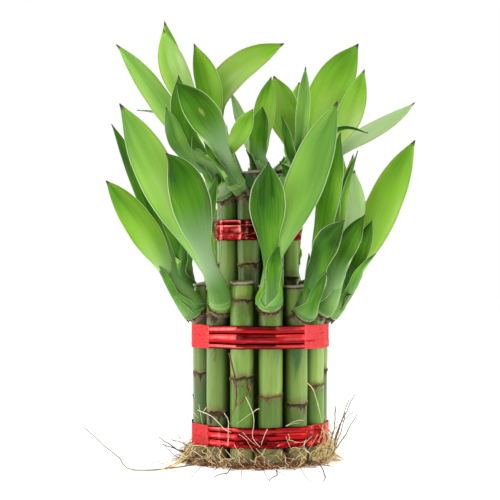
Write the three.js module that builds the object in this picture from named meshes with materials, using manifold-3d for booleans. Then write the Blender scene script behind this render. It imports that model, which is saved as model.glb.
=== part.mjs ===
// Lucky bamboo: a two-tier bundle of cut canes that stands on its own cut ends.
// A ring of short canes stands round a ring of tall ones, red foil ribbon ties them in three
// places, leafy shoots grow from the canes just below their cut tops, and bare roots spread
// from the foot. Millimetres, +Z up, the viewer looks along +Y, and the origin is in the middle
// of the foot, on the surface that the bundle stands on.
import * as THREE from 'three';
import { mergeVertices } from 'three/addons/utils/BufferGeometryUtils.js';
import Module from 'manifold-3d';

const wasm = await Module();
wasm.setup();

// Driving dimensions

const GAP = 0.3;
const OUTER_RING = 29.2;
const OUTER_RADIUS = 6.1;
const OUTER_PHASE = 10;
const INNER_RING = 15.9;
const INNER_RADIUS = 5.8;
const INNER_PHASE = -16;
const INNER_SHIFT = -1.1;
const CENTRE_OFFSET = INNER_RING - 2 * INNER_RADIUS - GAP;
const CENTRE_TOWARDS = INNER_PHASE + 180;
const CANE_SIDES = 10;
const NODE_RIDGE = 0.5;
const NODE_BELOW = 2.2;
const NODE_ABOVE = 1.2;
const LIP = 0.35;
const LIP_HEIGHT = 1.2;
const CUT_DISH = 0.9;
const BAND_THICKNESS = 0.6;
const BAND_GROOVE = 0.3;
const BLADE_THICKNESS = 1.0;
const BLADE_FOLD = 16;
const SHEATH_FOLD = 62;
const BLADE_LIFT = 0.34;
const BLADE_REACH = 0.3;
const BLADE_BOW = 0.15;
const STEM_SIDES = 6;
const STEM_STEPS = 3;
const STEM_FOOT = 5.2;
const STEM_TOP = 2.8;
const STEM_SUNK = 0.45;
const STEM_OUT = 4;
const STEM_RISE = 6;
const FIRST_LEAF = 0.7;
const LEAF_SPREAD = 0.26;
const ROOT_RADIUS = 0.6;
const ROOTS_PER_CANE = 4;
const ROOT_FAN = 8;
const ROOT_START = 35.5;
const ROOT_SHORTEST = 8;
const ROOT_LONGEST = 24;
const MAT_HEIGHT = 6;
const MAT_HALF_TURN = 13.3;
const MAT_INSIDE = 29;
const MAT_OUTSIDE = 38;

// Colours

const paint = (colour, roughness, metalness) =>
  new THREE.MeshStandardMaterial({ color: colour, roughness, metalness });
const CANE = paint(0x5f8f3e, 0.45, 0);
const LEAF = paint(0x7cbf3f, 0.4, 0);
const FOIL = paint(0xc8101c, 0.25, 0.8);
const ROOT = paint(0xb08a58, 0.8, 0);

// Shared helpers

const radians = THREE.MathUtils.degToRad;
const vector = (x, y, z) => new THREE.Vector3(x, y, z);
const UP = vector(0, 0, 1);
// A level direction: 0 degrees faces the viewer, 90 is to the viewer's right.
const level = (degrees) =>
  vector(Math.sin(radians(degrees)), -Math.cos(radians(degrees)), 0);
const smooth = (from, to, value) => THREE.MathUtils.smoothstep(value, from, to);

// The same draw each run, from a small linear generator.
function dice(seed) {
  let state = seed * 7919 + 17;
  return (low, high) => {
    state = (state * 1664525 + 1013904223) % 4294967296;
    return low + ((high - low) * state) / 4294967296;
  };
}

function toSolid(geometry) {
  const bare = geometry.clone();
  bare.deleteAttribute('normal');
  bare.deleteAttribute('uv');
  const merged = mergeVertices(bare, 1e-4);
  return new wasm.Manifold(
    new wasm.Mesh({
      numProp: 3,
      vertProperties: merged.attributes.position.array,
      triVerts: new Uint32Array(merged.index.array),
    }),
  );
}

function toMesh(solid, name, material) {
  const made = solid.getMesh();
  const geometry = new THREE.BufferGeometry();
  geometry.setAttribute('position', new THREE.BufferAttribute(made.vertProperties, 3));
  geometry.setIndex(new THREE.BufferAttribute(made.triVerts, 1));
  geometry.computeVertexNormals();
  const mesh = new THREE.Mesh(geometry, material);
  mesh.name = name;
  return mesh;
}

const joined = (solids) => solids.reduce((all, next) => all.add(next));

// A cut can leave scraps beside the piece itself, which is the largest body.
function largest(solid) {
  const bodies = solid.decompose();
  return bodies.reduce((best, next) => (next.volume() > best.volume() ? next : best));
}

// A tube of straight-sided section along a curve.
function tube(curve, steps, sides, radius, endRadius = radius) {
  const section = new THREE.Shape(
    Array.from({ length: sides }, (_, i) => {
      const turn = (2 * Math.PI * i) / sides;
      return new THREE.Vector2(Math.cos(turn), Math.sin(turn));
    }),
  );
  const geometry = new THREE.ExtrudeGeometry(section, { steps, extrudePath: curve });
  const position = geometry.attributes.position;
  const point = new THREE.Vector3();
  const centres = curve.getSpacedPoints(steps);
  for (let i = 0; i < position.count; i += 1) {
    point.fromBufferAttribute(position, i);
    let nearest = 0;
    centres.forEach((centre, j) => {
      if (centre.distanceTo(point) < centres[nearest].distanceTo(point)) nearest = j;
    });
    const share = radius + ((endRadius - radius) * nearest) / steps;
    point.sub(centres[nearest]).multiplyScalar(share).add(centres[nearest]);
    position.setXYZ(i, point.x, point.y, point.z);
  }
  return toSolid(geometry);
}

// Canes: a lathed stalk with a raised scar ring at each node and a thickened, dished cut top

// Height of the cut top, and of the node rings from the lower one up, for each cane in turn.
const OUTER_CANES = [
  { top: 91, nodes: [36, 80] },
  { top: 91, nodes: [32, 75.5] },
  { top: 93, nodes: [41, 78] },
  { top: 90, nodes: [47, 76] },
  { top: 92, nodes: [34, 79] },
  { top: 89, nodes: [44, 77] },
  { top: 93, nodes: [29, 80] },
  { top: 91, nodes: [38, 78] },
  { top: 94, nodes: [46, 79] },
  { top: 90, nodes: [33, 76] },
  { top: 92, nodes: [46, 78] },
  { top: 90, nodes: [27, 76.5] },
  { top: 93, nodes: [45, 84] },
];
const INNER_CANES = [
  { top: 149, nodes: [102, 136] },
  { top: 147, nodes: [108, 134] },
  { top: 150, nodes: [100, 137] },
  { top: 148, nodes: [106, 135] },
  { top: 151, nodes: [103, 138] },
  { top: 147, nodes: [109, 134] },
  { top: 149, nodes: [101, 136] },
  { top: 146, nodes: [107, 135] },
];
const CENTRE_CANE = { top: 152, nodes: [146] };

function caneSolid(spot, radius, { top, nodes }, extra = 0) {
  const r = radius + extra;
  const profile = [new THREE.Vector2(0, -extra), new THREE.Vector2(r, -extra)];
  nodes.forEach((height) => {
    profile.push(new THREE.Vector2(r, height - NODE_BELOW));
    profile.push(new THREE.Vector2(r + NODE_RIDGE, height));
    profile.push(new THREE.Vector2(r, height + NODE_ABOVE));
  });
  profile.push(new THREE.Vector2(r + LIP, top - LIP_HEIGHT));
  profile.push(new THREE.Vector2(r + LIP / 2, top + extra));
  profile.push(new THREE.Vector2(0, top - CUT_DISH + 2 * extra));
  const stalk = new THREE.LatheGeometry(profile, CANE_SIDES);
  stalk.rotateX(Math.PI / 2);
  return toSolid(stalk).translate([spot.x, spot.y, 0]);
}

function ringOfCanes(name, rows, { ring, phase, radius, shift }) {
  return rows.map((row, i) => {
    const angle = phase + (360 * i) / rows.length;
    const spot = level(angle).multiplyScalar(ring).setX(
      ring * Math.sin(radians(angle)) + shift);
    return {
      name: `${name}_${String(i + 1).padStart(2, '0')}`,
      angle,
      spot,
      radius,
      solid: caneSolid(spot, radius, row),
      clearance: caneSolid(spot, radius, row, GAP),
    };
  });
}

const outerCanes = ringOfCanes('outer_cane', OUTER_CANES, {
  ring: OUTER_RING, phase: OUTER_PHASE, radius: OUTER_RADIUS, shift: 0,
});
const innerCanes = ringOfCanes('inner_cane', INNER_CANES, {
  ring: INNER_RING, phase: INNER_PHASE, radius: INNER_RADIUS, shift: INNER_SHIFT,
});
const centreSpot = level(CENTRE_TOWARDS).multiplyScalar(CENTRE_OFFSET);
centreSpot.x += INNER_SHIFT;
const centreCane = {
  name: 'centre_cane',
  spot: centreSpot,
  radius: INNER_RADIUS,
  solid: caneSolid(centreSpot, INNER_RADIUS, CENTRE_CANE),
  clearance: caneSolid(centreSpot, INNER_RADIUS, CENTRE_CANE, GAP),
};
const canes = [...outerCanes, ...innerCanes, centreCane];
const caneClearance = joined(canes.map((cane) => cane.clearance));

// Ribbon bands: flat foil pulled tight round a ring, straight from cane to cane

const BANDS = [
  { name: 'band_foot', ring: outerCanes, low: 9.5, high: 20.5 },
  { name: 'band_middle', ring: outerCanes, low: 59, high: 71 },
  { name: 'band_upper', ring: innerCanes, low: 113.5, high: 124.5 },
];

// The ribbon's line round the canes, at a distance from their skin.
function ribbonLine(ring, distance) {
  const half = 180 / ring.length;
  return ring.flatMap(({ spot, angle, radius }) =>
    [-half, 0, half].map((turn) =>
      spot.clone().addScaledVector(level(angle + turn), radius + distance)),
  );
}

function bandSolid({ ring, low, high }) {
  const inner = ribbonLine(ring, GAP);
  const outer = ribbonLine(ring, GAP + BAND_THICKNESS);
  const groove = ribbonLine(ring, GAP + BAND_THICKNESS - BAND_GROOVE);
  const rings = [
    { line: inner, z: low },
    { line: outer, z: low },
    { line: groove, z: (low + high) / 2 },
    { line: outer, z: high },
    { line: inner, z: high },
  ];
  const count = inner.length;
  const points = rings.flatMap(({ line, z }) => line.flatMap((p) => [p.x, p.y, z]));
  const faces = [];
  rings.forEach((_, i) => {
    const here = i * count;
    const next = ((i + 1) % rings.length) * count;
    for (let j = 0; j < count; j += 1) {
      const k = (j + 1) % count;
      faces.push(here + j, here + k, next + k);
      faces.push(here + j, next + k, next + j);
    }
  });
  const geometry = new THREE.BufferGeometry();
  geometry.setAttribute('position', new THREE.Float32BufferAttribute(points, 3));
  geometry.setIndex(faces);
  return toSolid(geometry);
}

// Leafy shoots: a short clasped stem and its blades

// How wide a blade is along its length, from its sheath to its dry tip, as shares.
const BLADE = [[0, 0.36], [0.18, 0.42], [0.34, 0.8], [0.5, 1], [0.7, 0.88], [0.88, 0.46]];
const BRACT = [[0, 0.8], [0.35, 1], [0.75, 0.6]];
const BRACT_WIDTH = 8.2;

// The line and the turn of one blade. It leaves the stem along the stem, passes its middle
// point if it has one, and is turned about its own line so that its upper side looks the
// stated way.
function bladeFrame(leaf, start, stemWay, stemRadius) {
  const tip = vector(...leaf.tip);
  const chord = tip.clone().sub(start);
  const length = chord.length();
  const away = chord.clone().addScaledVector(stemWay, -chord.dot(stemWay)).normalize();
  const side = stemWay.clone().cross(away).normalize();
  const foot = start.clone().addScaledVector(away, 0.5 * stemRadius);
  const lift = foot.clone().addScaledVector(stemWay, BLADE_LIFT * length);
  const last = leaf.via ? tip.clone().sub(vector(...leaf.via)) : chord.clone();
  last.normalize().addScaledVector(UP, -(leaf.bow ?? BLADE_BOW)).normalize();
  const reach = tip.clone().addScaledVector(last, -BLADE_REACH * length);
  if (leaf.via) {
    lift.set(...leaf.via).multiplyScalar(8).sub(foot).sub(tip).divideScalar(3).sub(reach);
  }
  const curve = new THREE.CubicBezierCurve3(foot, lift, reach, tip);
  const frameAt = (t, turn) => {
    const along = curve.getTangent(t);
    const across = side.clone().addScaledVector(along, -side.dot(along)).normalize();
    across.applyAxisAngle(along, turn * smooth(0.05, 0.45, t));
    return { point: curve.getPoint(t), across, face: along.clone().cross(across) };
  };
  let turn = 0;
  if (leaf.face !== undefined) {
    const middle = frameAt(0.55, 0);
    const along = curve.getTangent(0.55);
    const wanted = level(leaf.face);
    wanted.addScaledVector(along, -wanted.dot(along)).normalize();
    const sine = middle.face.clone().cross(wanted).dot(along);
    turn = Math.atan2(sine, middle.face.dot(wanted));
  }
  return (t) => frameAt(t, turn);
}

// One blade: a folded strip with a thick midrib, thin edges and a pointed tip.
function bladeSolid(leaf, start, stemWay, stemRadius) {
  const frame = bladeFrame(leaf, start, stemWay, stemRadius);
  const stations = leaf.width < BRACT_WIDTH ? BRACT : BLADE;
  const points = [];
  stations.forEach(([t, share]) => {
    const { point, across, face } = frame(t);
    const half = (leaf.width * share) / 2;
    const fold = radians(
      THREE.MathUtils.lerp(SHEATH_FOLD, leaf.fold ?? BLADE_FOLD, smooth(0, 0.3, t)));
    const rise = half * Math.sin(fold);
    const reach = half * Math.cos(fold);
    const edge = (sign) =>
      point.clone().addScaledVector(across, sign * reach).addScaledVector(face, rise);
    const rib = (sign) =>
      point.clone().addScaledVector(face, (sign * BLADE_THICKNESS) / 2);
    points.push(edge(-1), rib(1), edge(1), rib(-1));
  });
  points.push(frame(1).point);
  const faces = [0, 1, 2, 0, 2, 3];
  const last = points.length - 1;
  const top = (stations.length - 1) * 4;
  for (let i = 0; i < top; i += 4) {
    const [left, upper, right, lower] = [i, i + 1, i + 2, i + 3];
    faces.push(left, left + 4, upper + 4, left, upper + 4, upper);
    faces.push(upper, upper + 4, right, right, upper + 4, right + 4);
    faces.push(right, right + 4, lower + 4, right, lower + 4, lower);
    faces.push(lower, lower + 4, left, left, lower + 4, left + 4);
  }
  faces.push(top, last, top + 1, top + 1, last, top + 2);
  faces.push(top + 2, last, top + 3, top + 3, last, top);
  const geometry = new THREE.BufferGeometry();
  geometry.setAttribute(
    'position', new THREE.Float32BufferAttribute(points.flatMap((p) => p.toArray()), 3));
  geometry.setIndex(faces);
  return toSolid(geometry);
}

// Each shoot: the cane it grows from, the height and the way that it leaves the cane, the
// point where its top leaves part, and its leaves from the lowest up. A leaf has its tip and,
// where it isn't a plain arch, the point that it passes half way, its width, the way that its
// upper side looks, and how far its halves fold up. Without a stated way it faces the stem.
const SHOOTS = [
  {
    name: 'outer_shoot_01', cane: outerCanes[0], z: 80, way: 5, crown: [6.5, -40, 102],
    leaves: [
      { tip: [8, -46, 110], width: 8, face: 180, at: 0.35 },
      { tip: [4, -56, 151], via: [3.5, -53, 129], width: 17.5, face: 180 },
      { tip: [38, -45, 181.5], via: [22, -48, 142], width: 20, face: 175 },
    ],
  },
  {
    name: 'outer_shoot_02', cane: outerCanes[1], z: 75, way: 55, crown: [27, -38, 94],
    leaves: [
      { tip: [32, -46, 96], width: 7, at: 0.3 },
      { tip: [24, -42, 107], width: 6, at: 0.6 },
      { tip: [41, -53, 123], via: [31.5, -48, 110], width: 13, face: 165, fold: 10, at: 0.55 },
      { tip: [40, -36, 167], via: [34, -39, 137], width: 12.5, face: 175 },
    ],
  },
  {
    name: 'outer_shoot_03', cane: outerCanes[2], z: 77, way: 68, crown: [38, -23, 95],
    leaves: [
      { tip: [52, -25, 120.5], via: [46, -25, 108.5], width: 8 },
      { tip: [52, -37, 126], via: [42.5, -33, 110], width: 12, face: 160, fold: 25 },
      { tip: [48.5, -12, 150], via: [48.5, -14, 129], width: 11, face: 180 },
      { tip: [49.5, -22, 159], via: [44, -22, 134], width: 10, fold: 55 },
    ],
  },
  {
    name: 'outer_shoot_04', cane: outerCanes[3], z: 75, way: 92, crown: [49, -3, 94],
    leaves: [
      { tip: [47, -8, 86], width: 6, at: 0.4 },
      { tip: [59, -17, 107], via: [51.5, -13, 98], width: 8 },
      { tip: [57.5, -14, 124], via: [52, -12, 109], width: 9, face: 170 },
      { tip: [69, 11, 146], via: [59, 8, 122], width: 12, face: 190 },
      { tip: [80, -8, 165.5], via: [62.3, -7, 128], width: 19, face: 180 },
    ],
  },
  {
    name: 'outer_shoot_05', cane: outerCanes[4], z: 78, way: 118, crown: [40, 20, 101],
    leaves: [
      { tip: [58, 30, 118], width: 12 },
      { tip: [64, 38, 140], width: 14 },
      { tip: [44, 16, 161], via: [42, 16, 138], width: 12, face: 190 },
      { tip: [49, 4, 159], via: [45, 8, 136], width: 8, face: 180 },
    ],
  },
  {
    name: 'outer_shoot_06', cane: outerCanes[5], z: 79, way: 152, crown: [17, 45, 101],
    leaves: [
      { tip: [19, 70, 112], width: 13 },
      { tip: [3, 72, 130], width: 14 },
      { tip: [20, 58, 147], width: 15 },
    ],
  },
  {
    name: 'outer_shoot_07', cane: outerCanes[6], z: 80, way: 178, crown: [1, 49, 102],
    leaves: [
      { tip: [-9, 75, 114], width: 13 },
      { tip: [-2, 64, 150], width: 15 },
      { tip: [-13, 60, 147], width: 13 },
    ],
  },
  {
    name: 'outer_shoot_08', cane: outerCanes[7], z: 78, way: 206, crown: [-15, 45, 102],
    leaves: [
      { tip: [-29, 65, 118], width: 13 },
      { tip: [-15, 76, 135], width: 14 },
      { tip: [-34, 55, 147], width: 15 },
      { tip: [-20, 52, 158], width: 13 },
    ],
  },
  {
    name: 'outer_shoot_09', cane: outerCanes[8], z: 80, way: 205, crown: [-23, 35, 102],
    leaves: [
      { tip: [-32, 66, 116], width: 12 },
      { tip: [-58, 44, 140], width: 14 },
      { tip: [-42, 48, 152], width: 15 },
    ],
  },
  {
    name: 'outer_shoot_10', cane: outerCanes[9], z: 77, way: -98, crown: [-38.5, 7, 102],
    leaves: [
      { tip: [-41, 3, 120], width: 9, at: 0.6 },
      { tip: [-64, 20, 121], width: 13 },
      { tip: [-58.5, 4, 131.5], via: [-49, 6, 114], width: 15, face: 150 },
      { tip: [-48, 22, 150], width: 13, face: 160 },
    ],
  },
  {
    name: 'outer_shoot_11', cane: outerCanes[10], z: 76, way: -84, crown: [-48, -21, 99],
    leaves: [
      { tip: [-51, -24, 97.5], width: 7, at: 0.35 },
      { tip: [-52.5, -27, 102.5], width: 7, at: 0.6 },
      { tip: [-74.5, -29, 172], via: [-57.5, -27, 134], width: 12, face: 170 },
      { tip: [-76.5, -37, 143], via: [-57.8, -32, 117], width: 19, face: 175 },
    ],
  },
  {
    name: 'outer_shoot_12', cane: outerCanes[11], z: 79, way: -24, crown: [-26, -37, 103],
    leaves: [
      { tip: [-21, -31, 146], via: [-23, -34, 126], width: 10, face: 150 },
      { tip: [-69.5, -40, 181], via: [-49.5, -40, 142.5], width: 21, face: 178 },
      { tip: [-46, -51, 155.5], via: [-32, -49, 132.5], width: 20.5, face: 185, bow: 0.5 },
    ],
  },
  {
    name: 'inner_shoot_01', cane: innerCanes[0], z: 140, way: -42, crown: [-18, -27, 157],
    leaves: [
      { tip: [-29, -24, 154], width: 8, at: 0.5 },
      { tip: [-28, -35, 162], width: 6 },
      { tip: [-3.5, -33, 179], via: [-10, -32, 167], width: 10, face: 0 },
      { tip: [-41.5, -42, 191], via: [-27, -38, 174], width: 17, face: 0 },
    ],
  },
  {
    name: 'inner_shoot_02', cane: innerCanes[1], z: 137, way: 62, crown: [20, -18, 151],
    leaves: [
      { tip: [10, -25, 153.5], width: 7, at: 0.5 },
      { tip: [21, -30, 161], width: 6 },
      { tip: [54, -32, 167], via: [40, -28, 169], width: 7 },
      { tip: [11, -27, 176], via: [14, -24, 162], width: 8 },
      { tip: [23, -26, 201], via: [21.5, -25, 177], width: 9, fold: 40, face: 0 },
    ],
  },
  {
    name: 'inner_shoot_03', cane: innerCanes[2], z: 138, way: 78, crown: [27, -4, 156],
    leaves: [
      { tip: [80.5, -4, 185.5], via: [54.5, -5, 168.5], width: 9, face: 0, bow: -0.25 },
      { tip: [54, -8, 202], via: [46, -7, 178], width: 14, face: 170 },
      { tip: [51.5, 9, 208], width: 8 },
      { tip: [51.5, 1, 216.5], via: [35.8, -1, 189.5], width: 22.5, face: 180 },
    ],
  },
  {
    name: 'inner_shoot_04', cane: innerCanes[3], z: 139, way: 110, crown: [18, 12, 161],
    leaves: [
      { tip: [42, 26, 186], width: 13 },
      { tip: [21, 13, 198], via: [19, 13, 178], width: 13, face: 170 },
      { tip: [7.5, 3, 200], via: [12.5, 6, 182], width: 15, face: 0, fold: 25 },
    ],
  },
  {
    name: 'inner_shoot_05', cane: innerCanes[4], z: 141, way: 150, crown: [16, 28, 156],
    leaves: [
      { tip: [22, 62, 149], width: 13 },
      { tip: [34, 54, 158], width: 13 },
      { tip: [40, 42, 178], width: 14 },
      { tip: [17, 38, 190], width: 13 },
    ],
  },
  {
    name: 'inner_shoot_06', cane: innerCanes[5], z: 139, way: -160, crown: [-18, 17, 165],
    leaves: [
      { tip: [-34, 40, 178], width: 14 },
      { tip: [-23, 16, 205], width: 8 },
      { tip: [13, 10, 218], via: [-16, 12, 200.5], width: 16.5, face: 0 },
    ],
  },
  {
    name: 'inner_shoot_07', cane: innerCanes[6], z: 139, way: -100, crown: [-23, 4, 164],
    leaves: [
      { tip: [-58, 16, 188], width: 13 },
      { tip: [-34.5, 7, 217.5], via: [-26.5, 6, 194], width: 14, face: 180 },
      { tip: [-50.5, 11, 224], via: [-43, 9, 197], width: 12, face: 180 },
      { tip: [-49, 0, 229.5], via: [-39.5, 0, 198], width: 13, face: 0, fold: 25 },
    ],
  },
  {
    name: 'inner_shoot_08', cane: innerCanes[7], z: 137, way: -55, crown: [-27, -15, 151],
    leaves: [
      { tip: [-32, -23, 153], width: 8, at: 0.5 },
      { tip: [-34, -14, 170], via: [-35, -16, 160], width: 8 },
      { tip: [-47.5, -23, 181], via: [-42, -20, 164], width: 11, face: 170 },
      { tip: [-64, 2, 182], via: [-46, 1, 177], width: 7 },
      { tip: [-41.5, -16, 198], via: [-39, -17, 175], width: 12, face: 0 },
      { tip: [-74, -8, 215], via: [-50.5, -11, 184], width: 13, face: 170 },
    ],
  },
  {
    name: 'centre_shoot', cane: centreCane, z: 149, way: -20, crown: [-2, -4, 157],
    leaves: [
      { tip: [-7, -5, 161], width: 6, at: 0.5 },
      { tip: [-15.5, 14, 193], via: [-11, 9, 180], width: 7, face: 150 },
      { tip: [1.5, -6, 183], via: [0, -6, 167], width: 9.5, face: 0 },
      { tip: [6, -1, 199], via: [1, -1.5, 178], width: 12, face: 0 },
    ],
  },
];

function shootSolid({ cane, z, way, crown, leaves }) {
  const out = level(way);
  const heart = cane.spot.clone().setZ(z);
  const stem = new THREE.QuadraticBezierCurve3(
    heart.clone().addScaledVector(out, STEM_SUNK * cane.radius),
    heart.clone().addScaledVector(out, cane.radius + STEM_OUT).addScaledVector(UP, STEM_RISE),
    vector(...crown),
  );
  const parts = [tube(stem, STEM_STEPS, STEM_SIDES, STEM_FOOT, STEM_TOP)];
  leaves.forEach((leaf, i) => {
    const share = leaf.at ?? FIRST_LEAF + (LEAF_SPREAD * (i + 1)) / leaves.length;
    const radius = THREE.MathUtils.lerp(STEM_FOOT, STEM_TOP, share);
    parts.push(bladeSolid(leaf, stem.getPoint(share), stem.getTangent(share), radius));
  });
  return largest(joined(parts).subtract(caneClearance));
}

// Bare roots: a low mat round the foot of each outer cane, with single roots spreading from it

// Long single roots by the number of the cane that they grow from.
const LONG_ROOTS = {
  0: [
    [[7, -36, 3], [9, -48, 4], [8, -66, 1], [4, -82, 0.8]],
  ],
  1: [
    [[23, -28, 3], [28, -40, 3.5], [31, -66, 1], [29, -88, 0.8]],
  ],
  2: [
    [[33, -13, 2], [36, -14, 9], [38, -15.5, 18], [38.5, -16, 28.5]],
    [[34, -16, 1.5], [38, -18, 7], [41, -20, 16], [43, -21, 26.5]],
  ],
  3: [
    [[36, 0, 2], [39, -1, 8], [42.5, -4, 21], [49, -6, 34.5]],
    [[36, 3, 2], [39, 3, 9], [43, 2, 21], [46.5, 1, 31]],
    [[36, 1, 2], [41, 4, 6], [46, 4, 15], [51, 2, 24]],
  ],
  10: [
    [[-34, -9, 2], [-40, -9, 5], [-47, -9, 9.5], [-52, -9, 13]],
    [[-34, -12, 2], [-39, -14, 6], [-45, -14, 8], [-50, -15, 10]],
  ],
  11: [
    [[-26, -27, 2], [-45, -36, 1.4], [-63, -41, 1.2], [-76, -37, 10], [-88, -33, 20.5]],
  ],
  12: [
    [[-10, -36, 3], [-13, -47, 3.5], [-16, -60, 1], [-22, -70, 0.8]],
  ],
};

function matSolid(cane, draw) {
  const arc = (reach, turns) =>
    turns.map((turn) => {
      const spot = level(cane.angle + turn).multiplyScalar(reach());
      return new THREE.Vector2(spot.x, spot.y);
    });
  const turns = [-1, -0.4, 0.3, 1].map((share) => share * MAT_HALF_TURN);
  const outline = new THREE.Shape([
    ...arc(() => draw(MAT_OUTSIDE - 2, MAT_OUTSIDE), turns),
    ...arc(() => MAT_INSIDE, [MAT_HALF_TURN, 0, -MAT_HALF_TURN]),
  ]);
  const height = draw(0.7, 1) * MAT_HEIGHT;
  const mat = new THREE.ExtrudeGeometry(outline, {
    depth: height, bevelEnabled: false, steps: 1,
  });
  const position = mat.attributes.position;
  for (let i = 0; i < position.count; i += 1) {
    const reach = Math.hypot(position.getX(i), position.getY(i));
    const slope = 1 - 0.6 * smooth(MAT_INSIDE, MAT_OUTSIDE, reach);
    if (position.getZ(i) > 0) position.setZ(i, height * slope);
  }
  return toSolid(mat);
}

function rootTuft(cane, index) {
  const draw = dice(40 + index);
  const place = (turn, reach, height) =>
    level(cane.angle + turn).multiplyScalar(reach).setZ(height);
  const runs = Array.from({ length: ROOTS_PER_CANE }, (_, i) => {
    const turn = (2 * i / (ROOTS_PER_CANE - 1) - 1) * ROOT_FAN;
    const length = draw(ROOT_SHORTEST, ROOT_LONGEST);
    return [
      place(0.6 * turn, ROOT_START, draw(1.5, 3)),
      place(turn, ROOT_START + 0.4 * length, draw(2, 5)),
      place(turn + draw(-2, 2), ROOT_START + length, 2 * ROOT_RADIUS),
    ];
  });
  (LONG_ROOTS[index] ?? []).forEach((run) => runs.push(run.map((p) => vector(...p))));
  const roots = runs.map((run) =>
    tube(new THREE.CatmullRomCurve3(run), 2 * run.length - 2, 3, ROOT_RADIUS));
  return largest(joined([matSolid(cane, draw), ...roots]).subtract(caneClearance));
}

const model = new THREE.Group();
canes.forEach((cane) => model.add(toMesh(cane.solid, cane.name, CANE)));
BANDS.forEach((band) => model.add(toMesh(bandSolid(band), band.name, FOIL)));
SHOOTS.forEach((shoot) => model.add(toMesh(shootSolid(shoot), shoot.name, LEAF)));
outerCanes.forEach((cane, i) =>
  model.add(toMesh(rootTuft(cane, i), cane.name.replace('cane', 'roots'), ROOT)));

export default model;
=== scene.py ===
import math
import random

import bpy
from mathutils import Matrix, Vector, noise


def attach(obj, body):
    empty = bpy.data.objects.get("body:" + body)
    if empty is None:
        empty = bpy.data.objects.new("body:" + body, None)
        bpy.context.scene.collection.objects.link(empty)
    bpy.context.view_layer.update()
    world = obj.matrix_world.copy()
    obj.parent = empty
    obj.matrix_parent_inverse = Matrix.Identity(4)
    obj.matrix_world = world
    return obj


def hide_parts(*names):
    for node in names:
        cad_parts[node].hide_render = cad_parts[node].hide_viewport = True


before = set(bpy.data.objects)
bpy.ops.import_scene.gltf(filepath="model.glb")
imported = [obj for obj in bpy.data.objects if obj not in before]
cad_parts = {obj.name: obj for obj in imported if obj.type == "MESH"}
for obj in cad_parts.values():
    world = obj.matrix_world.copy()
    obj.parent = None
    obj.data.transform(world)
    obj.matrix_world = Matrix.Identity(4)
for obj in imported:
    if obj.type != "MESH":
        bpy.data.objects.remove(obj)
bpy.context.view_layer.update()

# Canes
# Cut lengths of green, fleshy stalk: a ring of short ones, a ring of tall ones inside it, and
# one in the middle. Each is ringed by the brown scars of shed leaves, and its sawn top has
# dried to a thin, shrunken, grey-brown lip round a dark waxy face.

MM = 0.001
OUTER_RING, OUTER_RADIUS, OUTER_PHASE = 29.2, 6.1, 10
INNER_RING, INNER_RADIUS, INNER_PHASE, INNER_SHIFT = 15.9, 5.8, -16, -1.1
# Each cane has the height of its cut top, and then of its ring scars.
OUTER_CANES = [
    (91, 36, 80), (91, 32, 75.5), (93, 41, 78), (90, 47, 76), (92, 34, 79), (89, 44, 77),
    (93, 29, 80), (91, 38, 78), (94, 46, 79), (90, 33, 76), (92, 46, 78), (90, 27, 76.5),
    (93, 45, 84),
]
INNER_CANES = [
    (149, 102, 136), (147, 108, 134), (150, 96, 137), (148, 106, 135), (151, 103, 138),
    (147, 109, 134), (149, 101, 136), (146, 88, 134),
]
CANE_FACETS, PLAIN_STEP, RING_CLEAR = 30, 4, 7
CUT_RIM, CUT_DEPTH = 0.7, 1.9
FAR = 9
# The bulge at each ring and the shrunken lip at the cut: the height from it, and how far
# the skin stands out there
RING_PROFILE = [(-3.5, 0.02), (-1.6, 0.1), (-0.8, 0.3), (-0.35, 0.5), (-0.05, 0.5), (0.1, 0.12),
                (0.5, -0.12), (2.5, -0.12)]
LIP_PROFILE = [(-4.5, 0), (-2.2, -0.3), (-1.5, 0.05), (-0.9, 0.33), (-0.3, 0.3), (0, -0.1),
               (-0.1, -0.6), (-0.6, -1.1), (-0.9, -3)]
# Painted shadow by cane, dark green patches that stand for shade: the way they look, top and
# bottom, half width and depth
PAINTED_CANE_SHADOWS = {
    "short_cane_01": (36, 58, 52, 24, 0.5), "short_cane_02": (2, 60, 46.5, 45, 0.8),
    "short_cane_11": (-20, 40, 24, 50, 0.5), "tall_cane_01": (0, 150, 136.5, 300, 0.9),
}
# How light each stretch between the rings is, from the foot up, and how bold the rings are
CANE_LIGHTNESS = {
    "short_cane_01": (0.8, 1), "short_cane_03": (1.2, 1.28), "short_cane_11": (0.8, 0.62),
    "short_cane_12": (0.9, 0.77), "short_cane_13": (1.2, 1.05), "tall_cane_01": (0.8, 0.68),
    "tall_cane_03": (1, 1.45),
}
BOLD_RINGS = {"short_cane_12": 2.4, "short_cane_13": 1.5, "short_cane_02": 1.7,
              "short_cane_11": 1.5}


def level(degrees):
    turn = math.radians(degrees)
    return Vector((math.sin(turn), -math.cos(turn), 0))


def smooth(low, high, value):
    share = min(1, max(0, (value - low) / (high - low)))
    return share * share * (3 - 2 * share)


# 1 where there is no gap, falling to 0 on both sides
def bell(gap):
    return math.exp(-gap * gap)


def alone(piece):
    bpy.ops.object.select_all(action="DESELECT")
    piece.select_set(True)
    bpy.context.view_layer.objects.active = piece


# Writes what a finish needs to know on each point of a piece
def paint(piece, names, rows):
    for name, values in zip(names.split(), zip(*rows)):
        layer = piece.data.attributes.new(name, "FLOAT", "POINT")
        layer.data.foreach_set("value", values)


def ride_for(piece, node):
    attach(piece, "root")
    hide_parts(node)


def finish_of(name, roughness, **sockets):
    material = bpy.data.materials.new(name)
    material.use_nodes = True
    shader = material.node_tree.nodes["Principled BSDF"]
    shader.inputs["Roughness"].default_value = roughness
    for socket, value in sockets.items():
        shader.inputs[socket.replace("_", " ")].default_value = value
    return material, material.node_tree, shader


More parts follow.
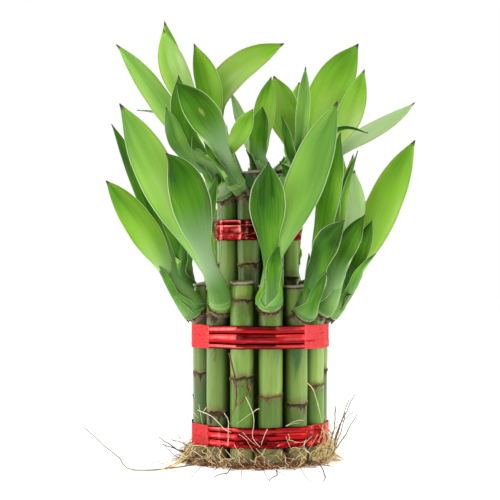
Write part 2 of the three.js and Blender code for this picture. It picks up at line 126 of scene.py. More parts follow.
def wire(tree, kind, inputs, **settings):
    made = tree.nodes.new(kind)
    for key, value in settings.items():
        setattr(made, key, value)
    for socket, value in inputs.items():
        if isinstance(value, bpy.types.NodeSocket):
            tree.links.new(value, made.inputs[socket])
        else:
            made.inputs[socket].default_value = value
    return made


def tree_of(*values):
    return next(v for v in values if isinstance(v, bpy.types.NodeSocket)).id_data


def calc(operation, a, b=0.0, clamp=False):
    made = wire(tree_of(a, b), "ShaderNodeMath", {0: a, 1: b}, operation=operation)
    made.use_clamp = clamp
    return made.outputs[0]


def times(a, b, clamp=False):
    return calc("MULTIPLY", a, b, clamp)


def plus(a, b):
    return calc("ADD", a, b)


def minus(a, b):
    return calc("SUBTRACT", a, b)


# Turns a grain into a swing about nothing
def sway(value, much):
    return times(minus(value, 0.5), much)


def tint(factor, under, over, mode="MIX"):
    made = wire(tree_of(factor, under, over), "ShaderNodeMix", {0: factor}, data_type="RGBA",
                blend_type=mode)
    for index, value in ((6, under), (7, over)):
        if isinstance(value, bpy.types.NodeSocket):
            made.id_data.links.new(value, made.inputs[index])
        else:
            made.inputs[index].default_value = (*value, 1)
    return made.outputs[2]


# Goes softly from 0 at low to 1 at high
def step(value, low, high):
    return wire(value.id_data, "ShaderNodeMapRange", {0: value, 1: low, 2: high},
                interpolation_type="SMOOTHSTEP").outputs[0]


# Reads what was written on the points
def held(tree, names):
    return [wire(tree, "ShaderNodeAttribute", {}, attribute_name=name).outputs["Fac"]
            for name in names.split()]


def grain(tree, scale, stretch=(1, 1, 1), detail=3.0, rough=0.55):
    place = wire(tree, "ShaderNodeTexCoord", {}).outputs["Object"]
    sized = wire(tree, "ShaderNodeMapping", {"Vector": place, "Scale": stretch})
    made = wire(tree, "ShaderNodeTexNoise", {
        "Vector": sized.outputs[0], "Scale": scale, "Detail": detail, "Roughness": rough})
    return made.outputs[0]


def dress(shader, colour, relief, strength, distance, roughness=None):
    made = wire(shader.id_data, "ShaderNodeBump", {
        "Height": relief, "Strength": strength, "Distance": distance})
    for socket, value in (("Base Color", colour), ("Normal", made.outputs[0]),
                          ("Roughness", roughness)):
        if value is not None:
            shader.id_data.links.new(value, shader.inputs[socket])


CANE_SKIN, tree, shader = finish_of(
    "cane skin", 0.4, Subsurface_Weight=0.06, Subsurface_Scale=0.002, Coat_Weight=0.12,
    Coat_Roughness=0.15, Specular_IOR_Level=0.35)
CANE_MARKS = "growth over_ring under_ring below_cut stain foot shade lightness"
growth, over, under, below, painted_shadow, foot, shade, lightness = held(tree, CANE_MARKS)
fibre, mottle = grain(tree, 700, (1, 1, 0.04)), grain(tree, 90, (1, 1, 0.3))
ragged = grain(tree, 1100, (1, 1, 0.8), 4.0)
frayed, cloudy = sway(ragged, 1.5), sway(mottle, 6.0)
green = tint(step(mottle, 0.3, 0.7), (0.06, 0.15, 0.008), (0.115, 0.235, 0.018))
pale = tint(step(mottle, 0.25, 0.75), (0.17, 0.3, 0.035), (0.28, 0.41, 0.085))
skin = tint(step(growth, 0.95, 0.1), green, pale)
skin = tint(times(step(fibre, 0.5, 0.8), 0.25), skin, (0.36, 0.48, 0.17))
skin = tint(times(step(fibre, 0.48, 0.25), 0.28), skin, (0.05, 0.13, 0.015))
light = wire(tree, "ShaderNodeCombineColor", {i: lightness for i in range(3)}).outputs[0]
skin = tint(1.0, skin, light, "MULTIPLY")
# Painted shadow: dark green patches painted on some canes to stand for shade
skin = tint(painted_shadow, skin, (0.03, 0.1, 0.022))
straw = tint(step(grain(tree, 170), 0.42, 0.58), (0.28, 0.14, 0.04), (0.3, 0.29, 0.08))
straw = tint(step(ragged, 0.4, 0.7), straw, (0.5, 0.44, 0.22))
skin = tint(times(step(foot, 12.5, 7.0), 0.85), skin, straw)
near = calc("MAXIMUM", step(plus(under, cloudy), 3.6, 0.6), step(plus(over, cloudy), 2.4, 0.6))
skin = tint(times(near, 0.42), skin, (0.17, 0.13, 0.04))
crack = calc("ABSOLUTE", minus(grain(tree, 260, (1, 1, 0.7), 2.0), 0.5))
crack = times(step(crack, 0.03, 0.012), step(plus(under, cloudy), 5.5, 3.0))
skin = tint(times(crack, 0.7), skin, (0.12, 0.06, 0.02))
dark = step(plus(under, frayed), 1.0, 0.5)
brown = tint(step(mottle, 0.4, 0.6), (0.025, 0.012, 0.003), (0.11, 0.055, 0.012))
skin = tint(dark, skin, brown)
tan = step(plus(over, frayed), 0.7, 0.35)
skin = tint(tan, skin, (0.26, 0.19, 0.06))
dried = plus(below, sway(ragged, 1.1))
lip = tint(step(dried, 0.75, 1.5), (0.4, 0.33, 0.25), (0.075, 0.035, 0.02))
skin = tint(step(dried, 2.3, 1.7), skin, lip)
# Painted shade: the sides of each cane that face its neighbours and the inside of the ring are
# darkened nearly to black
skin = tint(times(shade, 0.85), skin, (0.01, 0.018, 0.004))
bark = calc("MAXIMUM", dark, tan)
dress(shader, skin, plus(times(fibre, 0.35), times(bark, ragged)), 0.5, 0.0006,
      plus(0.33, times(bark, 0.4)))

CUT_END, tree, shader = finish_of("cut end", 0.5)
pith = grain(tree, 700)
dress(shader, tint(pith, (0.075, 0.07, 0.03), (0.21, 0.19, 0.085)), pith, 0.5, 0.0005)


# The skin is drawn up from the foot, step by step, and then made uneven.
def grow_cane(name, node, spot, radius, row, way, seed):
    top, scars = row[0], row[1:]
    draw = random.Random(seed)
    profile, last = [(0, 0)], 0
    for scar in scars:
        plain = scar - RING_CLEAR - last
        steps = max(2, round(plain / PLAIN_STEP))
        profile += [(last + plain * (i + 1) / steps, 0) for i in range(steps)]
        profile += [(scar + rise, proud) for rise, proud in RING_PROFILE]
        last = scar + RING_PROFILE[-1][0]
    profile += [(top + rise, proud) for rise, proud in LIP_PROFILE]
    bpy.ops.object.select_all(action="DESELECT")
    bpy.ops.mesh.primitive_circle_add(
        vertices=CANE_FACETS, radius=radius * MM, fill_type="NGON", location=(*(spot * MM).xy, 0))
    cane = bpy.context.object
    cane.name = name
    bpy.ops.object.mode_set(mode="EDIT")
    bpy.ops.mesh.select_all(action="SELECT")
    was, wide = profile[0][0], radius
    for height, proud in profile[1:]:
        bpy.ops.mesh.extrude_region_move(
            TRANSFORM_OT_translate={"value": (0, 0, (height - was) * MM)})
        share = (radius + proud) / wide
        bpy.ops.transform.resize(value=(share, share, 1),
                                 center_override=(spot.x * MM, spot.y * MM, height * MM))
        was, wide = height, radius + proud
    bpy.ops.object.mode_set(mode="OBJECT")
    bpy.ops.object.transform_apply(location=True)
    rings = [(draw.uniform(0.2, 1.1), draw.uniform(0, 6.3), draw.uniform(0.5, 1.8),
              draw.uniform(0, 9)) for _ in scars]
    joints = [(draw.uniform(-0.35, 0.35), draw.uniform(-0.012, 0.012)) for _ in range(4)]
    lean, front = draw.uniform(0, 6.3), math.radians(way - 90)
    shadow_patch = PAINTED_CANE_SHADOWS.get(name)
    bold, stretches = BOLD_RINGS.get(name, 1), CANE_LIGHTNESS.get(name, (1,))
    marks = []
    for vertex in cane.data.vertices:
        x, y, z = vertex.co.x / MM - spot.x, vertex.co.y / MM - spot.y, vertex.co.z / MM
        turn = math.atan2(y, x)
        floor = max([s for s in scars if s <= z] or [0])
        above = min([s for s in scars if s > z] or [top + 30])
        rise = (z - floor) / (above - floor)
        probe = Vector((2.2 * math.cos(turn), 2.2 * math.sin(turn), seed * 1.7 + floor))
        broad = bold * (0.9 + 4 * max(0, noise.noise(probe * 1.1)))
        over = min([FAR] + [(z - s) / (0.7 + broad * 0.4) for s in scars if z >= s])
        probe.z += above - floor
        broad = bold * (1.25 + 9 * max(0, noise.noise(probe * 1.1) - 0.05))
        under = min([FAR] + [(s - z) / broad for s in scars if z < s])
        # How deep the painted shadow patch lies on this point
        shadow_depth = 0
        if shadow_patch:
            look, high, low, half, depth = shadow_patch
            fall = min(1, max(0, (z - low) / (high - low)))
            aside = abs(math.degrees(math.remainder(turn - math.radians(look - 90), math.tau)))
            if z < high + 4 and fall > 0:
                shadow_depth = depth * smooth(1.15, 0.6, aside / (half * fall))
        stretch = sum(s <= z for s in scars)
        marks.append((rise if floor else 0.5 + 0.5 * rise, over, under, top - z, shadow_depth, z,
                      smooth(1.0, 1.75, abs(math.remainder(turn - front, math.tau))),
                      stretches[min(stretch, len(stretches) - 1)]))
        shift, girth = joints[stretch]
        wobble = 1 + girth + 0.008 * math.sin(2 * turn + lean + z * 0.05)
        lift = 0
        for scar, (tilt, way, jag, phase) in zip(scars, rings):
            reach = bell((z - scar) / 3)
            probe = Vector((2.6 * math.cos(turn), 2.6 * math.sin(turn), phase))
            lift += reach * (tilt * math.sin(turn - way) + jag * noise.noise(probe)
                             + 0.35 * jag * noise.noise(probe * 3.1))
        sag = smooth(top - 3, top - 0.5, z) * (
            0.4 * math.sin(turn + lean) + 0.9 * noise.noise(Vector((x * 0.33, y * 0.33, seed))))
        ease = smooth(0, 12, z) * smooth(top, top - 12, z)
        vertex.co = Vector((spot.x + x * wobble + shift * ease * 0.5,
                            spot.y + y * wobble, z + lift + sag)) * MM
    paint(cane, CANE_MARKS, marks)
    cane.data.materials.append(CANE_SKIN)
    cane.data.materials.append(CUT_END)
    for face in cane.data.polygons:
        flat = Vector((face.center.x / MM - spot.x, face.center.y / MM - spot.y)).length
        up = face.center.z / MM
        inside = flat < radius - CUT_RIM and (up > top - CUT_DEPTH or up < 1)
        face.material_index = 1 if inside else 0
    alone(cane)
    bpy.ops.object.shade_smooth_by_angle(angle=math.radians(45))
    ride_for(cane, node)


outer_spots, inner_spots = [], []
for i, row in enumerate(OUTER_CANES):
    angle = OUTER_PHASE + 360 * i / len(OUTER_CANES)
    outer_spots.append((angle, level(angle) * OUTER_RING))
    grow_cane(f"short_cane_{i + 1:02d}", f"outer_cane_{i + 1:02d}", outer_spots[-1][1],
              OUTER_RADIUS, row, angle, i)
for i, row in enumerate(INNER_CANES):
    angle = INNER_PHASE + 360 * i / len(INNER_CANES)
    inner_spots.append((angle, level(angle) * INNER_RING + Vector((INNER_SHIFT, 0, 0))))
    grow_cane(f"tall_cane_{i + 1:02d}", f"inner_cane_{i + 1:02d}", inner_spots[-1][1],
              INNER_RADIUS, row, angle, 20 + i)
centre_spot = level(INNER_PHASE + 180) * (INNER_RING - 2 * INNER_RADIUS - 0.3)
centre_spot += Vector((INNER_SHIFT, 0, 0))
grow_cane("middle_cane", "centre_cane", centre_spot, INNER_RADIUS, (152, 104, 146), 0, 40)

# Foil ties
# Strips of thin red metallised ribbon, wound round and pulled tight, so that they run straight
# from cane to cane. In front the turns are gathered into folds, and where they were twisted
# or crossed the foil is creased.

FOIL_CLEAR, FOIL_THICK = 0.35, 0.15
FOIL_ROWS, BEND_STEPS, STRAIGHT_STEPS, SEAM_COLUMNS = 30, 8, 14, 12
FOIL_MARKS = "crumple flat groove glint"
RED_FOIL, tree, shader = finish_of(
    "red foil", 0.15, Metallic=0.9, Coat_Weight=0.1, Coat_Roughness=0.2,
    Specular_Tint=(1, 0.25, 0.25, 1))
crumple, flat, groove_shade, glint = held(tree, FOIL_MARKS)
fine, streak = grain(tree, 1900, detail=2.0), grain(tree, 330, (0.1, 0.1, 3.0), 2.0)
crease = minus(grain(tree, 260, (1, 1, 2.4), 3.0, 0.5), streak)
crease = plus(streak, times(crease, times(crumple, 2.5, clamp=True)))
# Painted shade: dark facets on the crumpled foil
facet_shade = step(grain(tree, 150, (1, 1, 1.6), 1.0), 0.5, 0.54)
red = tint(step(crease, 0.35, 0.65), (0.2, 0.001, 0.003), (0.5, 0.008, 0.012))
red = tint(times(facet_shade, crumple), red, (0.11, 0.001, 0.002))
# Painted highlight on the ridges of the crumpled foil
red = tint(times(step(crease, 0.64, 0.7), crumple), red, (0.8, 0.2, 0.2))
# Painted sheen: the flat ends are a paler, pinker red, where they face the side panels
flat_sheen = tint(step(fine, 0.3, 0.7), (0.5, 0.02, 0.025), (0.72, 0.1, 0.1))
flat_sheen = tint(step(crease, 0.42, 0.3), flat_sheen, (0.32, 0.006, 0.01))
red = tint(flat, red, flat_sheen)
# Painted shade: the grooves between the turns and the pinched creases are darkened nearly to
# black, and a whole tie as far as it is painted dim
red = tint(groove_shade, red, (0.035, 0.0, 0.0))
# Painted highlight lines along the turns and on the ribs
red = tint(glint, red, (0.85, 0.2, 0.18))
red = tint(times(step(grain(tree, 420), 0.66, 0.69), flat), red, (0.12, 0.0, 0.0))
dress(shader, red, plus(times(crease, plus(crumple, 0.06)), times(fine, 0.03)), 0.7, 0.0014,
      plus(times(fine, 0.14), plus(0.1, times(flat, 0.16))))


def close_up(piece, capped=False):
    alone(piece)
    bpy.ops.object.mode_set(mode="EDIT")
    bpy.ops.mesh.select_all(action="SELECT")
    bpy.ops.mesh.remove_doubles(threshold=0.00001)
    if capped:
        bpy.ops.mesh.fill_holes(sides=0)
    bpy.ops.mesh.normals_make_consistent(inside=False)
    bpy.ops.object.mode_set(mode="OBJECT")


def thicken(piece, thickness, offset=0, group=""):
    skin = piece.modifiers.new("thickness", "SOLIDIFY")
    skin.thickness, skin.offset, skin.vertex_group = thickness * MM, offset, group
    bpy.ops.object.modifier_apply(modifier=skin.name)


# Round the outside of each cane, then straight to the next: point, way out, angle
def foil_line(spots, radius):
    half = 180 / len(spots)
    line = []
    for i, (angle, spot) in enumerate(spots):
        _, next_spot = spots[(i + 1) % len(spots)]
        for j in range(BEND_STEPS + 1):
            turn = angle - half + 2 * half * j / BEND_STEPS
            line.append((spot + level(turn) * radius, level(turn), turn))
        way = level(angle + half)
        start, end = spot + way * radius, next_spot + way * radius
        for j in range(1, STRAIGHT_STEPS):
            line.append((start.lerp(end, j / STRAIGHT_STEPS), way, angle + half))
    return line


def across_turns(turns, share):
    for low, high in turns:
        if share <= high:
            return max(0, math.sin(math.pi * (share - low) / (high - low))) ** 0.25
    return 0


def within(value, low, high, soft):
    return smooth(low - soft, low + soft, value) * smooth(high + soft, high - soft, value)


# A flat grid laid where place says for each step across and along it
def laid_sheet(columns, rows, place):
    bpy.ops.object.select_all(action="DESELECT")
    bpy.ops.mesh.primitive_grid_add(x_subdivisions=columns, y_subdivisions=rows, size=2)
    sheet = bpy.context.object
    for vertex in sheet.data.vertices:
        vertex.co = place(vertex.co.x, (vertex.co.y + 1) / 2) * MM
    return sheet


# A tie has its foot and top, where each turn lies across it, the angles between which the turns
# are gathered, its creases (angle, depth), crumpled parts (angles, bottom, top, depth), seed,
# shines, which are painted highlight lines (height, width, left, right, strength), ribs that
# stand out and carry a painted highlight (place, strength) and how much painted shade darkens
# it all over.
def foil_tie(name, node, spots, radius, low, high, turns, gathers, creases, crumple, seed,
             shines, glinting_ribs=(), painted_dim=0.0):
    line = foil_line(spots, radius + FOIL_CLEAR)
    run, lengths, marks = 0, [], []
    for i, (point, _, _) in enumerate(line):
        lengths.append(run)
        run += (line[(i + 1) % len(line)][0] - point).length

    def place(u, share):
        column = round((u + 1) / 2 * len(line)) % len(line)
        point, way, angle = line[column]
        turn = (angle + 180) % 360 - 180
        around = lengths[column] - (run if column > len(line) - SEAM_COLUMNS else 0)
        gather = max((within(turn, a, b, 3) for a, b in gathers), default=0)
        across = across_turns(turns, share)
        proud = 0.25 + gather * (0.85 * across - 0.25)
        pinch = glint = 0
        for at, deep in creases:
            reach = bell((turn - at) / 1.5)
            proud -= reach * 0.3 * deep
            pinch += reach * deep
        if point.y < 0:
            slip = 0.5 * noise.noise(Vector((share * 3, seed, 0)))
            # Ribs stand out a little and carry a painted highlight line
            for at, much in glinting_ribs:
                reach = bell((point.x + slip - at) / 0.55)
                proud += 0.3 * reach
                glint += much * reach
            for at, wide, left, right, much in shines:
                glint += much * bell((share - at) / wide) * within(point.x, left, right, 1.5)
        crush = max((within(turn, a, b, 6) * smooth(top, bottom, share) * much
                     for a, b, bottom, top, much in crumple), default=0)
        probe = Vector((around * 0.13, share * 2.2, seed * 3.7))
        fold = 1 - 2 * abs(noise.noise(probe))
        fold += 0.5 * (1 - 2 * abs(noise.noise(probe * 2.3)))
        proud += crush * (fold - 0.9)
        torn = noise.noise(Vector((around * 0.3, share * 5, seed)))
        pinch = min(1, pinch)
        # The third mark is painted shade: in the grooves, at the pinches and, for a dim tie, all
        # over
        marks.append((min(1, crush * 1.4 + 0.5 * pinch), (1 - gather) * (1 - min(1, crush)),
                      min(1, painted_dim + gather * (1 - across) ** 2 + 0.75 * pinch ** 2),
                      min(0.9, glint * (0.55 + 0.45 * smooth(-0.25, 0.1, torn)))))
        width = (high - low) * (1 - 0.06 * gather) * (1 - 0.12 * pinch)
        height = (low + high) / 2 + (share - 0.5) * width
        height += 0.3 * noise.noise(Vector((around * 0.05, 5 * seed, round(share))))
        return Vector(((point + way * max(0.05, proud)).xy[:] + (height,)))

    tie = laid_sheet(len(line), FOIL_ROWS, place)
    tie.name = name
    paint(tie, FOIL_MARKS, marks)
    close_up(tie)
    thicken(tie, FOIL_THICK, 1)
    tie.data.materials.append(RED_FOIL)
    bpy.ops.object.shade_smooth_by_angle(angle=math.radians(32))
    ride_for(tie, node)


foil_tie("foot_tie", "band_foot", outer_spots, OUTER_RADIUS, 9.5, 20.5,
         [(0, 0.36), (0.39, 0.74), (0.78, 1)], [(-48, 52)],
         [(-52, 1), (-20, 0.5), (-3, 0.4), (40, 0.5), (55, 0.5)],
         [(-38, 0, 0, 0.9, 0.5), (0, 50, 0, 0.4, 0.9), (40, 75, 0, 1, 0.6), (75, 180, 0, 1, 0.3),
          (-180, -60, 0, 1, 0.2)], 1,
         [(0.77, 0.035, -10, 24, 0.85), (0.9, 0.05, -24, -8, 0.4), (0.55, 0.05, -24, -12, 0.4),
          (0.2, 0.05, -26, -15, 0.35), (0.3, 0.03, 5, 14, 0.3)],
         [(-20, 0.3), (26, 0.3)])
foil_tie("middle_tie", "band_middle", outer_spots, OUTER_RADIUS, 59, 71,
         [(0, 0.2), (0.24, 0.65), (0.69, 1)], [(-44, 39), (140, 200)],
         [(-46, 1.2), (41, 1.2)],
         [(-50, 44, 0, 1, 0.03), (75, 180, 0, 1, 0.3), (-180, -80, 0, 1, 0.3)], 2,
         [(0.86, 0.05, -25, -9, 0.65), (0.5, 0.08, -25, -9, 0.4), (0.1, 0.04, -25, -9, 0.6),
          (0.92, 0.03, -9, 9, 0.25), (0.56, 0.03, -6, 12, 0.35), (0.33, 0.02, -9, 9, 0.3),
          (0.12, 0.03, -9, 9, 0.3), (0.86, 0.04, 8, 22, 0.25), (0.45, 0.1, 11, 22, 0.2),
          (0.1, 0.03, 10, 22, 0.3)])
foil_tie("upper_tie", "band_upper", inner_spots, INNER_RADIUS, 113.5, 124.5,
         [(0, 0.29), (0.33, 0.77), (0.81, 1)], [(-110, 110)],
         [(-62, 0.9), (30, 0.6), (60, 0.8)],
         [(-180, 180, 0, 1, 0.4)], 3,
         [(0.3, 0.035, -22, 22, 0.7), (0.7, 0.04, -22, 22, 0.6), (0.97, 0.04, -20, -10, 0.5),
          (0.5, 0.08, -13, -8, 0.4)],
         [(-19.2, 0.9), (-21.2, 0.5), (-9.4, 0.8), (-6.6, 0.9), (14, 0.7)], 0.5)

# Leafy shoots
# Each shoot breaks from its cane just under the cut top: a stub as thick as the cane with a
# ragged brown ring, then leaf bases that clasp it one over the other with pale margins, and
# lance-shaped blades, glossy and faintly ribbed, that end in a dry brown thread.

# How wide a blade and a bract are along their length, and how thick a stub is
BLADE = [(0.36, 0.87), (0.5, 1), (0.66, 0.93), (0.8, 0.68), (0.88, 0.43), (0.93, 0.25),
         (0.965, 0.12), (1, 0.02)]
BRACT = [(0, 0.8), (0.4, 1), (0.75, 0.66), (0.93, 0.24), (1, 0.04)]
STUB_GIRTHS = [(0, 6.0), (0.25, 5.6), (0.6, 4.2), (1, 2.7)]
BLADE_FOLD, FOLD_GAIN, BLADE_LIFT, BLADE_REACH, BLADE_BOW = 16, 1.76, 0.34, 0.3, 0.15
STEM_SUNK, STEM_OUT, STEM_RISE = 0.45, 4, 6
STOUT = {"outer_12": 1.02, "outer_11": 1.08, "outer_02": 0.95, "inner_01": 0.78}
SHEATH_SHARE, NECK, BRACT_WIDTH = 0.25, 4.7, 8.2
BLADE_GRID, BRACT_GRID, STEM_GRID, HUSK_GRID = (12, 36), (8, 16), (20, 16), (84, 4)
BACK, LOW_BRACTS = 95, (-75, 70)
LEAF_THICK, HUSK_THICK = 0.5, 0.35
FIRST_LEAF, LEAF_SPREAD = 0.7, 0.26
UP = Vector((0, 0, 1))


def strip_of(tree):
    place = wire(tree, "ShaderNodeTexCoord", {}).outputs["UV"]
    return wire(tree, "ShaderNodeSeparateXYZ", {0: place}).outputs


LEAF_GREEN, tree, shader = finish_of(
    "leaf", 0.42, Subsurface_Weight=0.15, Subsurface_Scale=0.0015, Specular_IOR_Level=0.12)
LEAF_MARKS = "tone bloom veil scar lot"
tone, bloom, veil, scar, lot = held(tree, LEAF_MARKS)
across, along, _ = strip_of(tree)


def leaf_grain(wide, long, lots, detail):
    spot = wire(tree, "ShaderNodeCombineXYZ", {
        0: times(across, wide), 1: times(along, long), 2: times(lot, lots)}).outputs[0]
    return wire(tree, "ShaderNodeTexNoise", {
        "Vector": spot, "Scale": 1.0, "Detail": detail}).outputs[0]


streak, cloud = leaf_grain(7.0, 1.1, 40.0, 3.0), leaf_grain(1.6, 2.6, 70.0, 1.0)
fine = grain(tree, 900)
tone = plus(tone, sway(streak, minus(0.36, times(tone, 0.28))))
# Painted shade: one half of each blade is darker than the other, as where the fold turns from the
# light; which half, and how much, goes by lot
tone = plus(plus(tone, sway(cloud, 0.65)), times(sway(across, minus(lot, 0.5)), 0.5))
tone = minus(tone, times(step(along, 0.6, 1.0), 0.2))
ramp = wire(tree, "ShaderNodeValToRGB", {0: tone})
stops = [(0, (0.016, 0.078, 0.002)), (0.12, (0.04, 0.16, 0.004)), (0.3, (0.09, 0.28, 0.01)),
         (0.55, (0.24, 0.52, 0.036)), (0.78, (0.36, 0.61, 0.11)), (1, (0.6, 0.77, 0.36))]
for place, _ in stops[1:-1]:
    ramp.color_ramp.elements.new(place)
for element, (place, colour) in zip(ramp.color_ramp.elements, stops):
    element.position, element.color = place, (*colour, 1)
off = calc("ABSOLUTE", minus(times(across, 2.0), 1.0))
veins = calc("SINE", times(plus(off, streak), 46.0))
green = tint(times(step(veins, 0.2, 1.0), 0.1), ramp.outputs[0], (0.35, 0.66, 0.08))
# Painted sheen: a whitish veil over the green, for the gloss of the leaf
green = tint(veil, green, (0.42, 0.6, 0.35))
# Painted shade: a darker band along the midrib, where the blade folds, most on the darker leaves
inner = times(step(off, 0.3, 0.02), step(along, 0.35, 0.6))
inner = times(inner, minus(minus(0.8, times(lot, 0.4)), tone))
green = tint(times(inner, 0.9, clamp=True), green, (0.04, 0.17, 0.005))
# Painted shade: a thin darker line just inside the pale margin
green = tint(times(step(off, 0.82, 0.94), 0.3), green, (0.03, 0.13, 0.01))
sheath = tint(step(cloud, 0.3, 0.7), (0.1, 0.22, 0.04), (0.24, 0.4, 0.13))
green = tint(times(step(along, 0.3, 0.16), 0.65), green, sheath)
gone = calc("POWER", times(minus(along, 0.68), 4.0), 2.0)
gone = plus(plus(calc("POWER", plus(off, 0.06), 2.0), gone), times(fine, 0.05))
gone = step(gone, 0.07, 0.02)
green = tint(times(gone, scar), green, (0.36, 0.33, 0.1))
glaucous = step(plus(along, times(bloom, -0.22)), 0.45, 0.05)
glaucous = times(step(along, 0.1, 0.28), times(glaucous, bloom, clamp=True))
green = tint(times(glaucous, 0.85), green, (0.35, 0.52, 0.27))
green = tint(times(step(off, 0.945, 0.975), 0.85), green, (0.56, 0.72, 0.38))
green = tint(times(step(along, 0.012, 0.004), 0.35), green, (0.5, 0.6, 0.3))
reach = plus(along, times(fine, 0.02))
green = tint(step(reach, 0.972, 0.993), green, (0.1, 0.085, 0.05))
green = tint(step(reach, 0.986, 1.005), green, (0.045, 0.04, 0.035))
dress(shader, green, plus(times(veins, 0.35), times(fine, 0.4)), 0.16, 0.0004,
      plus(0.34, times(streak, 0.16)))

STUB_GREEN, tree, shader = finish_of(
    "stub", 0.45, Subsurface_Weight=0.08, Subsurface_Scale=0.002)
along, ragged = strip_of(tree)[1], grain(tree, 1300)
green = tint(grain(tree, 220, (1, 1, 0.5)), (0.09, 0.2, 0.025), (0.2, 0.36, 0.07))
green = tint(step(along, 0.35, 0.9), green, (0.3, 0.47, 0.16))
bark = tint(ragged, (0.04, 0.018, 0.01), (0.34, 0.2, 0.1))
green = tint(step(plus(along, sway(ragged, 0.1)), 0.14, 0.08), green, bark)
dress(shader, green, ragged, 0.4, 0.0006)

DRY_HUSK, tree, shader = finish_of("dry husk", 0.75)
fibre = grain(tree, 1100, (1, 1, 0.2), 4.0)
brown = tint(step(fibre, 0.5, 0.72), (0.03, 0.011, 0.004), (0.24, 0.13, 0.05))
dress(shader, brown, fibre, 0.6, 0.0006)


def blade(tip, width, tone, via=None, **facts):
    return tip, via, width, dict(facts, tone=tone)
